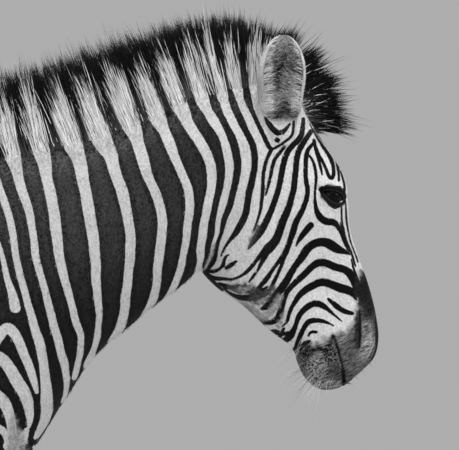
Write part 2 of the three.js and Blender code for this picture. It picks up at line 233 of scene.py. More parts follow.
def loft_distance(points, rows, steps=6):
    """About how far each point is outside a loft, negative inside, in millimetres."""
    s = strung(rows, steps)
    middle = (s[:, 0:2] + s[:, 2:4]) / 2
    arm = (s[:, 0:2] - s[:, 2:4]) / 2
    reach = np.linalg.norm(arm, axis=1)
    normal = np.stack([-arm[:, 1], arm[:, 0]], 1) / reach[:, None]
    out = np.empty(len(points))
    for start in range(0, len(points), 16000):
        p = points[start : start + 16000]
        side = p[:, [0, 2]]
        gap = side @ normal.T - np.sum(middle * normal, 1)
        crossing = gap[:, :-1] * gap[:, 1:] <= 0
        away = ((side[:, None, :] - middle[None, :-1]) ** 2).sum(2)
        away[~crossing] = np.inf
        k = away.argmin(1)
        row = np.arange(len(p))
        beyond = ~crossing.any(1)
        last = np.abs(gap[:, -1]) < np.abs(gap[:, 0])
        k = np.where(beyond, np.where(last, len(s) - 2, 0), k)
        before, after = gap[row, k], gap[row, k + 1]
        f = np.where(beyond, last.astype(float), before / np.where(before == after, 1, before - after))
        here = s[k] + f[:, None] * (s[k + 1] - s[k])
        centre = (here[:, 0:2] + here[:, 2:4]) / 2
        axis = (here[:, 0:2] - here[:, 2:4]) / 2
        length = np.linalg.norm(axis, axis=1)
        along = ((side - centre) * axis).sum(1) / length**2
        across = p[:, 1] - here[:, 4]
        width = here[:, 5] * (1 + here[:, 6] * np.clip(along, -1, 1))
        power = here[:, 7]
        ratio = (np.abs(along) ** power + np.abs(across / width) ** power) ** (1 / power)
        radius = np.hypot(along * length, across)
        d = radius - radius / np.maximum(ratio, 1e-6)
        d = np.where(ratio < 1e-6, -np.minimum(length, width), d)
        end = np.where(last, np.abs(gap[:, -1]), np.abs(gap[:, 0]))
        for rim, inner, near_end in ((0, 1, k < 2 * steps), (-1, -2, k > len(s) - 2 - 2 * steps)):
            inward = np.sign((middle[inner] - middle[rim]) @ normal[rim])
            d = np.where(near_end & ~beyond, -blended(-d, gap[:, rim] * inward, 12), d)
        out[start : start + 16000] = np.where(beyond, np.hypot(np.maximum(d, 0), end), d)
    return out


# Each limb's sections, and the width of the fillet that joins it to the limbs before it.
LIMBS = [(np.array(TRUNK_AND_NECK, float), 0), (np.array(HEAD, float), 26)]
for side, fore_lead, hind_lead in ((-1, 0.0, 0.0), (1, FORE_LEG_LEAD, HIND_LEG_LEAD)):
    LIMBS.append((placed(FORE_LEG, side, fore_lead), 44))
    LIMBS.append((placed(HIND_LEG, side, hind_lead), 50))
LIMBS.append((np.array(DOCK, float), 22))
LIMB_MARGIN = 70


def body_distance(points):
    """How far points of the drawing are outside the blended body, in millimetres."""
    d = np.full(len(points), 900.0)
    for rows, width in LIMBS:
        ends = np.vstack([rows[:, [0, 4, 1]], rows[:, [2, 4, 3]]])
        aside = np.outer(np.tile(1.4 * rows[:, 5], 2), [0, 1, 0])
        low, high = (ends - aside).min(0) - LIMB_MARGIN, (ends + aside).max(0) + LIMB_MARGIN
        near = ((points > low) & (points < high)).all(1)
        if near.any():
            found = loft_distance(points[near], rows)
            d[near] = blended(d[near], found, width) if width else np.minimum(d[near], found)
    for at, reach, by in FORMS.values():
        x, y, z = at
        r2 = (points[:, 0] - x) ** 2 + (np.abs(points[:, 1]) - y) ** 2 + (points[:, 2] - z) ** 2
        d -= by * np.exp(-r2 / reach**2)
    return d + COAT_DEPTH


def ring_faces(rings, around, closed=False):
    """Faces of a loft whose points run ring by ring, capped at its ends or closed on itself."""
    faces = []
    for r in range(rings if closed else rings - 1):
        ahead = ((r + 1) % rings - r) * around
        for i in range(around):
            p, q = r * around + i, r * around + (i + 1) % around
            faces.append((p, q, q + ahead, p + ahead))
    if not closed:
        faces += [tuple(range(around))[::-1], tuple(range((rings - 1) * around, rings * around))]
    return faces


def oval_mesh(rows, around, steps, shrink=0.0):
    """Vertices and faces of a closed loft."""
    s = strung(rows, steps)
    angle = 2 * np.pi * np.arange(around) / around
    c, n = np.cos(angle), np.sin(angle)
    power = 2 / s[:, 7:8]
    along = np.sign(c) * np.abs(c) ** power
    aside = np.sign(n) * np.abs(n) ** power
    middle = (s[:, 0:2] + s[:, 2:4]) / 2
    arm = (s[:, 0:2] - s[:, 2:4]) / 2
    arm *= (1 - shrink / np.linalg.norm(arm, axis=1))[:, None]
    x = middle[:, :1] + arm[:, :1] * along
    z = middle[:, 1:] + arm[:, 1:] * along
    y = s[:, 4:5] + aside * (s[:, 5:6] * (1 + s[:, 6:7] * along) - shrink)
    return np.stack([x, y, z], 2).reshape(-1, 3), ring_faces(len(s), around)


def linked(name, data):
    """A new object in the scene."""
    obj = bpy.data.objects.new(name, data)
    bpy.context.scene.collection.objects.link(obj)
    return obj


def make_object(name, points, faces):
    mesh = bpy.data.meshes.new(name)
    mesh.from_pydata([tuple(p) for p in points], [], faces)
    mesh.update()
    return linked(name, mesh)


def outward(obj):
    """Turns the faces of a closed mesh outwards, after its doubles are merged."""
    bm = bmesh.new()
    bm.from_mesh(obj.data)
    bmesh.ops.remove_doubles(bm, verts=bm.verts, dist=1e-6)
    bmesh.ops.recalc_face_normals(bm, faces=bm.faces)
    bm.to_mesh(obj.data)
    bm.free()


def evaluated(obj):
    """Replaces an object's mesh with the result of its modifiers."""
    graph = bpy.context.evaluated_depsgraph_get()
    mesh = bpy.data.meshes.new_from_object(obj.evaluated_get(graph))
    obj.modifiers.clear()
    obj.data = mesh


def vertices_of(mesh):
    co = np.empty(len(mesh.vertices) * 3)
    mesh.vertices.foreach_get("co", co)
    return co.reshape(-1, 3)


def normals_of(mesh):
    n = np.empty(len(mesh.vertices) * 3)
    mesh.vertex_normals.foreach_get("vector", n)
    return n.reshape(-1, 3)


def put_vertices(mesh, co):
    mesh.vertices.foreach_set("co", co.ravel())
    mesh.update()


def neighbours(mesh):
    e = np.empty(len(mesh.edges) * 2, int)
    mesh.edges.foreach_get("vertices", e)
    return e.reshape(-1, 2)


def relaxed(co, edges, amount):
    """Each vertex moved towards the mean of its neighbours."""
    total = np.zeros_like(co)
    count = np.zeros(len(co))
    for a, b in ((0, 1), (1, 0)):
        np.add.at(total, edges[:, a], co[edges[:, b]])
        np.add.at(count, edges[:, a], 1)
    mean = total / np.maximum(count, 1)[:, None]
    return co + np.asarray(amount).reshape(-1, 1) * (mean - co)


def fitted(mesh, distance, rounds, relax=0.3, where=None):
    """Moves a mesh onto a distance field's zero, evening its vertices out along the surface."""
    co = vertices_of(mesh)
    edges = neighbours(mesh)
    chosen = np.ones(len(co), bool) if where is None else where(co)
    for step in range(rounds):
        n = normals_of(mesh)
        if step < rounds - 1 and relax:
            moved = relaxed(co, edges, relax)
            slide = moved - co
            slide -= n * (slide * n).sum(1)[:, None]
            co[chosen] += slide[chosen]
        co[chosen] -= n[chosen] * np.clip(distance(co[chosen]), -12, 12)[:, None]
        put_vertices(mesh, co)


def halve_edges(mesh, numbers):
    """Halves the edges of the given numbers, and makes triangles again."""
    bm = bmesh.new()
    bm.from_mesh(mesh)
    bm.edges.ensure_lookup_table()
    bmesh.ops.subdivide_edges(bm, edges=[bm.edges[i] for i in numbers], cuts=1, use_grid_fill=True)
    bmesh.ops.triangulate(bm, faces=[f for f in bm.faces if len(f.verts) > 3])
    bm.to_mesh(mesh)
    bm.free()
    mesh.update()


def split_edges(mesh, wanted):
    """Halves every edge whose two ends are wanted."""
    chosen = wanted(vertices_of(mesh))
    halve_edges(mesh, np.flatnonzero(chosen[neighbours(mesh)].all(1)))


def folded(points):
    """Points of either side, brought to the left one."""
    return np.stack([points[:, 0], np.abs(points[:, 1]), points[:, 2]], 1)


def smooth_step(value, low, high):
    t = np.clip((value - low) / (high - low), 0, 1)
    return t * t * (3 - 2 * t)


def to_path(points, path):
    """Distance from each 2-D or 3-D point to a path, and how far along it the nearest place is."""
    path = np.asarray(path, float)
    best = np.full(len(points), np.inf)
    place = np.zeros(len(points))
    for i in range(len(path) - 1):
        rise = path[i + 1] - path[i]
        t = np.clip(((points - path[i]) @ rise) / max(rise @ rise, 1e-9), 0, 1)
        d = np.linalg.norm(points - path[i] - t[:, None] * rise, axis=1)
        nearer = d < best
        best[nearer] = d[nearer]
        place[nearer] = i + t[nearer]
    return best, place


def square_stance(points):
    """Points with the left feet brought level with the right ones, as the leg sections are listed."""
    lead = np.where(points[:, 0] < -200, HIND_LEG_LEAD, FORE_LEG_LEAD)
    out = points.copy()
    aside = smooth_step(points[:, 1], 0, 90)
    out[:, 0] -= lead * aside * np.clip(1 - points[:, 2] / STANCE_FADE, 0, None)
    return out


# Ridges and grooves that run along the body: path, width to each side and height. Those with two
# numbers to a point are seen from the side and cross the whole width; the others lie on one flank.
CREASES = {
    "mouth": ([(1020, 1019), (1026, 1004), (1031, 990), (1037, 967), (1043, 950), (1047, 926)], 2.6, -5.5),
    "upper lip": ([(1042, 1000), (1050, 972), (1056, 950)], 9, 1.6),
    "lower lip": ([(1012, 996), (1018, 975), (1024, 955)], 8, 1.8),
    "facial crest": ([(1010, 90, 1236), (1024, 84, 1200), (1030, 78, 1160)], 11, 3.4),
    "cheek edge": ([(905, 84, 1120), (915, 84, 1180), (905, 90, 1250)], 16, -3.5),
    "jaw edge": ([(800, 60, 1170), (830, 58, 1115), (880, 52, 1080)], 20, 3),
    "nose side": ([(1066, 48, 1190), (1078, 46, 1130), (1086, 44, 1080)], 13, -3.2),
    "nose corner": ([(1052, 46, 1046), (1046, 50, 1022)], 10, -3.5),
    "shoulder blade": ([(205, 215, 1210), (270, 190, 1120), (345, 178, 1010)], 34, 7),
    "behind the shoulder": ([(150, 235, 1150), (120, 245, 1030), (150, 230, 880)], 42, -9),
    "breast furrow": ([(470, 0, 900), (462, 0, 830), (430, 0, 760)], 26, -10),
    "neck furrow": ([(770, 60, 1160), (650, 88, 1080), (540, 108, 980)], 30, -5),
    "last ribs": ([(-250, 262, 1120), (-215, 266, 980), (-230, 255, 860)], 48, 5),
    "flank fold": ([(-400, 205, 900), (-385, 180, 830), (-360, 150, 790)], 26, 9),
    "thigh furrow": ([(-742, 150, 1120), (-735, 165, 1010), (-715, 172, 900)], 26, -6),
    "point of hock": ([(-752, 128, 560), (-762, 128, 530)], 16, 4),
    "hock hollow": ([(-694, 128, 640), (-712, 128, 560)], 15, -8),
    "fore tendon": ([(305, 118, 340), (303, 118, 205)], 8, -3.6),
    "hind tendon": ([(-688, 121, 370), (-688, 119, 215)], 8, -3.6),
    "crest side": ([(250, 78, 1285), (400, 76, 1320), (555, 70, 1352), (700, 60, 1410), (800, 52, 1450)],
     34, -13),
    "knee": ([(352, 121, 440), (350, 121, 396)], 18, 2.5),
}

# The eye's own axes: outward, forward along the slit, and up.
EYE_OUT = np.array([0.20, 0.975, 0.02])
EYE_OUT /= np.linalg.norm(EYE_OUT)
EYE_ALONG = np.cross(EYE_OUT, np.cross([0.93, 0, -0.36], EYE_OUT))
EYE_ALONG /= np.linalg.norm(EYE_ALONG)
EYE_RISE = np.cross(EYE_ALONG, EYE_OUT)
EYE_RISE *= np.sign(EYE_RISE[2])
LID = 4.2
SLIT_HALF = 21.0
SLIT_TOP = 8.5
SLIT_BOTTOM = 12.5
NOSTRIL = np.array([1083.0, 55.0, 1031.0])
NOSTRIL_SIZE = np.array([8.0, 15.0, 23.0])
NOSTRIL_TILT = 0.30


def slit_edges(along):
    """Heights of the upper and lower lid edges over the eye's middle, for places along the slit."""
    bow = np.clip(1 - (along / SLIT_HALF) ** 2, 0, None)
    return SLIT_TOP * bow**0.55, -SLIT_BOTTOM * bow**0.8


def eye_place(points):
    """Distance from the eye's middle, and places along and up the lids, for points of either side."""
    q = folded(points) - EYE
    r = np.linalg.norm(q, axis=1)
    scale = EYE_RADIUS / np.maximum(r, 1e-6)
    out = q @ EYE_OUT
    return r, q @ EYE_ALONG * scale, q @ EYE_RISE * scale, out / np.maximum(r, 1e-6)


def nostril_distance(points):
    """About how far points are outside the nostril's hollow, a comma curled back at its top."""
    q = folded(points) - NOSTRIL
    c, s = math.cos(NOSTRIL_TILT), math.sin(NOSTRIL_TILT)
    x = q[:, 0] * c - q[:, 2] * s
    z = q[:, 0] * s + q[:, 2] * c
    x = x + 0.012 * (z + 4) ** 2 - 3
    v = np.stack([x, q[:, 1], z], 1) / NOSTRIL_SIZE
    ratio = np.linalg.norm(v, axis=1)
    return (ratio - 1) * NOSTRIL_SIZE[0]


def beside(points, middle, reach, aside):
    """Which points of either side are within reach of a place, seen from the side."""
    return (np.abs(points[:, [0, 2]] - middle[[0, 2]]) < reach).all(1) & (np.abs(points[:, 1]) > aside)


def skin_distance(points):
    """The body's distance with its folds, lids, nostrils and lips."""
    d = body_distance(points)
    q = folded(square_stance(points))
    for path, width, height in CREASES.values():
        ends = np.array(path, float)
        columns = [0, 2] if len(path[0]) == 2 else [0, 1, 2]
        low, high = ends.min(0) - 3 * width, ends.max(0) + 3 * width
        near = ((q[:, columns] > low) & (q[:, columns] < high)).all(1)
        if near.any():
            away, _ = to_path(q[near][:, columns], ends)
            d[near] -= height * np.exp(-((away / width) ** 2))
    near = beside(points, EYE, 75, 30)
    if near.any():
        r, along, rise, facing = eye_place(points[near])
        f = blended(d[near], r - (EYE_RADIUS + LID), 16)
        top, bottom = slit_edges(along)
        front = smooth_step(facing, 0.0, 0.35)
        # Over the lids: the fold above, the swell of the upper lid and the fold below.
        for height, above, width, span in ((3.0, rise - top - 10.5, 3.2, 26), (-2.4, rise - top - 5, 4.5, 24),
                                           (1.5, rise - bottom + 8.5, 2.8, 24)):
            f += front * height * np.exp(-((above / width) ** 2)) * np.exp(-((along / span) ** 4))
        inside = np.minimum(top - rise, rise - bottom)
        inside = np.where(np.abs(along) < SLIT_HALF, inside, -5)
        cut = np.minimum(inside, r - (EYE_RADIUS - 2.5))
        cut = np.where(facing > 0.2, cut, -5)
        d[near] = -blended(-f, -cut, 2.2)
    near = beside(points, NOSTRIL, 60, 15)
    if near.any():
        n = nostril_distance(points[near])
        f = d[near] - 3.4 * np.exp(-(((n - 3.4) / 3.2) ** 2))
        d[near] = -blended(-f, n, 4.0)
    return d


BODY_VOXEL = 16.4

shells = [oval_mesh(rows, 32, 5, COAT_DEPTH) for rows, _ in LIMBS]
shell_faces, start = [], 0
for points, faces in shells:
    shell_faces += [tuple(i + start for i in face) for face in faces]
    start += len(points)
skin = make_object("skin", np.vstack([points for points, _ in shells]), shell_faces)
outward(skin)
even = skin.modifiers.new("even", "REMESH")
even.mode = "VOXEL"
even.voxel_size = BODY_VOXEL
evaluated(skin)
fitted(skin.data, body_distance, 6, relax=0.45)


def is_head(points):
    x, z = points[:, 0], points[:, 2]
    return (x > 735) & (z > 900) & (x * 0.97 + z * 0.24 > 1020)


def is_fine_leg(points):
    return points[:, 2] < 690


def is_neck(points):
    return (points[:, 0] > 355) & (points[:, 2] > 780) & (points[:, 0] < 900)


def is_face(points):
    return is_head(points) & (points[:, 0] > 790)


def is_detail(points):
    q = folded(points)
    eye = np.linalg.norm(q - EYE - [0, 8, 0], axis=1) < 44
    nose = np.linalg.norm(q - NOSTRIL, axis=1) < 42
    lips, _ = to_path(points[:, [0, 2]], CREASES["mouth"][0])
    return eye | nose | (lips < 12)


split_edges(skin.data, lambda p: is_head(p) | is_fine_leg(p) | is_neck(p))
fitted(skin.data, skin_distance, 3)
split_edges(skin.data, is_face)
fitted(skin.data, skin_distance, 3, where=is_head)
split_edges(skin.data, is_detail)
fitted(skin.data, skin_distance, 5, relax=0.25, where=is_detail)

# ---- The ears ----
# Each ear is a scoop of thin hide over a carved liner, open to the side, with its rims rolled in a
# little. Its root closes to a tube that is let into the skull, and the hide runs on without a seam.

EAR_WALL = 4.2
EAR_ROLL = math.radians(62)
EAR_CLOSED = 1396.0
EAR_OPEN = 1436.0
EAR_STEPS = 5


def ear_mesh(side):
    """Vertices and faces of one ear, closed at its root."""
    s = strung(placed(EAR, side), EAR_STEPS)
    outer = np.linspace(EAR_ROLL, 2 * np.pi - EAR_ROLL, 26)
    points = []
    for ax, az, bx, bz, across, half, _, _ in s:
        z = (az + bz) / 2
        a, b = (ax - bx) / 2, half * 0.95
        wall = min(EAR_WALL, 0.35 * min(a, b))
        closed = 1 - float(smooth_step(z, EAR_CLOSED, EAR_OPEN))
        # The front rim folds in low down, where the opening narrows to its notch.
        notch = 0.5 * math.exp(-(((z - EAR_OPEN) / 34) ** 2))
        ring = []
        for angle in outer:
            fold = 1 - notch * max(0, math.cos(angle)) * (0.7 + 0.3 * math.sin(angle))
            ring.append((a * math.sin(angle) * fold, b * math.cos(angle)))
        for angle in outer[::-1]:
            x, y = (a - wall) * math.sin(angle), (b - wall) * math.cos(angle) + 0.1 * b
            share = (angle - EAR_ROLL) / (2 * np.pi - 2 * EAR_ROLL)
            turn = EAR_ROLL * (1 - 2 * share)
            x += closed * (a * math.sin(turn) - x)
            y += closed * (b * math.cos(turn) - y)
            ring.append((x, y))
        points += [((ax + bx) / 2 + x, across + side * y, z) for x, y in ring]
    return points, ring_faces(len(s), 2 * len(outer))


for side in (-1, 1):
    ear = make_object("ear", *ear_mesh(side))
    outward(ear)
    union = skin.modifiers.new("let in", "BOOLEAN")
    union.operation = "UNION"
    union.solver = "MANIFOLD"
    union.object = ear
    evaluated(skin)
    bpy.data.objects.remove(ear)

bm = bmesh.new()
bm.from_mesh(skin.data)
bmesh.ops.triangulate(bm, faces=[f for f in bm.faces if len(f.verts) > 3])
# Where an ear's root meets the skull, the hide is drawn smooth over the join.
creases = [e for e in bm.edges if len(e.link_faces) == 2 and e.calc_face_angle_signed(0) < -0.35]
joined = {
    v for e in creases for v in e.verts if 1375 < v.co.z < 1470 and v.co.x < 985 and 35 < abs(v.co.y) < 100
}
for _ in range(2):
    joined |= {e.other_vert(v) for v in joined for e in v.link_edges}
for _ in range(6):
    bmesh.ops.smooth_vert(
        bm, verts=list(joined), factor=0.5, use_axis_x=True, use_axis_y=True, use_axis_z=True
    )
bm.to_mesh(skin.data)
bm.free()

# ---- The markings ----
# Black and white stripes are in the coat itself, as on the living animal: hung on the neck, arched round
# the cheek and muzzle, straight down the barrel, swept back over the haunch and level on the legs.
# Stripes of the head and neck are laid out on a side drawing of 1.85 mm squares, right and down.

SQUARE = 1.85
# The drawing is made 12 degrees behind square to the animal: how its width takes up length and breadth,
# and its left and upper edges, in millimetres.
DRAWN_LENGTH, DRAWN_BREADTH = 0.978, 0.208
DRAWN_LEFT, DRAWN_TOP = 391.2, 1643


def side_drawing(points):
    """Places on the side drawing, in squares, of points on either flank."""
    right = DRAWN_LENGTH * points[:, 0] + DRAWN_BREADTH * np.abs(points[:, 1]) - DRAWN_LEFT
    return np.stack([right / SQUARE, (DRAWN_TOP - points[:, 2]) / SQUARE], 1)


# White stripes on the neck, from the mane down: widths along each, in squares, and its middle line.
NECK_WHITE = [
    ([5, 6, 6, 4], [(-4, 276), (-2, 284), (-1.5, 296), (-2, 308)]),
    ([3, 4, 5, 6.5, 9, 9.5], [(-5, 230), (2, 250), (6, 266), (10, 281), (15, 297), (17, 307)]),
    ([6, 7, 7, 7, 7, 6.5, 7, 8.5, 9, 9, 10, 11, 10.5, 8, 4], [(-8, 166), (4.8, 200), (11.5, 220),
      (14.8, 240), (18, 260), (23.5, 280), (28.5, 300), (34, 320), (41, 340), (44.5, 360), (46.5, 380),
      (48.5, 400), (47, 414), (44, 424), (37, 436)]),
    ([16, 19, 20, 18, 13, 9.5, 9, 7.5, 7, 7, 7, 7, 7.5, 8, 7.5, 6, 4, 2], [(-2, 78), (2.6, 89),
      (6.4, 115), (11, 150), (15.5, 164.5), (18.5, 180), (25.5, 200), (32, 220), (35, 240), (37.6, 260),
      (43, 280), (49, 300), (53.5, 320), (59, 340), (64.5, 360), (67, 380), (65.5, 394), (61, 403)]),
    ([15, 19, 20, 20.5, 18, 13, 10.5, 10.5, 10.5, 10.5, 9.5, 8, 7, 7.5, 6, 5], [(17, 68), (21.7, 83),
      (27, 102), (35, 128), (40.5, 149), (44.5, 163), (47.3, 180), (52.5, 200), (55.5, 220), (57.8, 240),
      (61, 260), (66, 280), (71, 300), (76.5, 320), (82.5, 343), (74, 378)]),
    ([12, 16, 19, 21, 20, 14, 12, 11.5, 11, 11, 10, 9.5, 7.5, 6.5, 6, 6], [(34, 62), (43, 79), (51, 93),
      (62.5, 115), (71, 140), (78, 157), (82.5, 179), (87, 200), (91, 220), (94, 240), (95.5, 260),
      (96.8, 280), (98.3, 300), (99.3, 320), (95.5, 345), (86, 366)]),
    ([12, 16, 19, 20, 20, 15, 11.5, 11, 11, 10, 9.5, 9.5, 9, 9, 8.5, 8, 7.5], [(67, 66), (75, 79),
      (81, 92), (91.5, 115), (101.5, 140), (109, 152), (112, 162), (117.5, 180), (124.5, 200), (129, 224),
      (131, 240), (129, 264), (127.5, 283), (125, 302), (123, 318), (118, 331), (109, 348)]),
    ([14, 20, 22, 21, 17, 12, 12.5, 10, 9.5, 9.5, 9.5, 9, 8.5, 8, 8, 7], [(90, 58), (102, 76), (112, 92),
      (125, 115), (133, 130), (136.5, 140), (142, 157), (149, 179), (158, 200), (162, 219), (162.6, 232),
      (159, 253), (157, 272), (155.5, 289), (152, 302), (140, 325)]),
    ([11, 16, 17.5, 18.5, 18, 18.5, 18, 16, 11.5, 11, 9.5, 8.5, 8.5, 8, 7.5, 7, 7, 6], [(133, 50),
      (137, 60), (140, 70), (143, 80), (147, 90), (150.6, 100), (154, 110), (159, 120), (164, 130),
      (167.5, 140), (175, 157), (184, 179), (190, 200), (188, 219), (186, 240), (182.6, 259), (179, 275),
      (168, 298)]),
    ([7, 11, 14, 16.5, 18, 18, 14.5, 11, 11, 10, 9.5, 9.5, 9, 9, 8.5, 8.5, 8, 8], [(165.5, 46), (165, 58),
      (167, 70), (169.7, 80), (172.8, 90), (177, 100), (182, 110), (187, 121), (192, 130), (198.4, 140),
      (207, 154), (211.6, 168), (211.5, 185), (209, 200), (205.6, 216), (203.5, 228), (201, 246),
      (199, 280)]),
    ([6, 9, 9.5, 11.5, 12, 13.5, 14.5, 13.5, 9.5, 10.5, 8.5, 8, 8.5, 8.5, 8.3, 7.9, 7.5, 7, 6, 4.7, 3.7,
     2], [
      (185.5, 32), (187, 42), (189, 50), (191.2, 60), (193.8, 70), (196, 80), (199, 90), (202.5, 100),
      (207.5, 110), (213.4, 120), (219.7, 130), (225, 141), (228, 151.5), (230, 165), (230, 174),
      (228, 185), (225, 196.5), (221.5, 208), (218.5, 222), (215, 240), (211.5, 254), (205, 267)]),
    ([6, 8, 10, 10.5, 12, 12, 11.5, 8.5, 8.5, 8.5, 8, 8.5, 8.5, 8.5, 8.5, 8.3, 8, 7.8, 7.5, 7.3, 7], [
      (203, 30), (205, 40), (208, 50), (210.6, 60), (212.7, 70), (215, 80), (218.8, 90), (223.8, 100),
      (227, 110), (232, 120), (237, 130), (242, 139), (246.6, 151.5), (248, 165.6), (246, 174),
      (244, 185), (241, 196.5), (237.5, 206.5), (233, 216), (227.5, 225), (222, 237)]),
    ([4, 6, 7, 9, 12, 13, 14, 10, 7.5, 8, 7.8, 7.6, 7.8, 8, 8, 8, 8, 7.8, 7.5, 7.2, 7], [(213, 14),
      (216.5, 28), (220, 40), (223, 50), (227.6, 60), (231, 70), (234.3, 80), (238, 90), (239.8, 99),
      (246, 112), (253, 126), (258.6, 140), (263.5, 150.6), (262.7, 160), (259, 174), (257, 185),
      (256, 196.5), (253.6, 208), (251, 218), (246, 227), (238, 236)]),
    ([6, 8, 9.5, 11, 10, 6.5, 6.5, 7, 7, 6.5, 6], [(246, 12), (247, 28), (248, 50), (250.5, 65),
      (252, 77), (254, 90), (256, 101), (259.5, 112), (264, 122), (271, 137.5), (275, 147)]),
    ([9, 9.5, 11, 10, 9.5, 8, 6.5, 4], [(-5, 346), (2, 336), (9, 326), (18, 334), (24, 348), (30, 362),
      (34.5, 377), (38, 390)]),
    ([11, 12, 12, 12, 12, 11, 8, 3], [(-10, 354), (1, 355), (9, 362), (17, 374), (25, 388), (30.5, 402),
      (32, 414), (31, 425)]),
    ([11, 12, 11, 9, 9, 9, 8], [(-10, 388), (1, 394), (9, 403), (13, 418), (15, 432), (17, 446),
      (18, 462)]),
    ([9, 8, 6, 5], [(-10, 424), (2, 425), (8, 431), (11, 444)]),
    ([5, 10, 14, 14], [(29, 428), (25, 436), (20, 448), (16, 464)]),
]

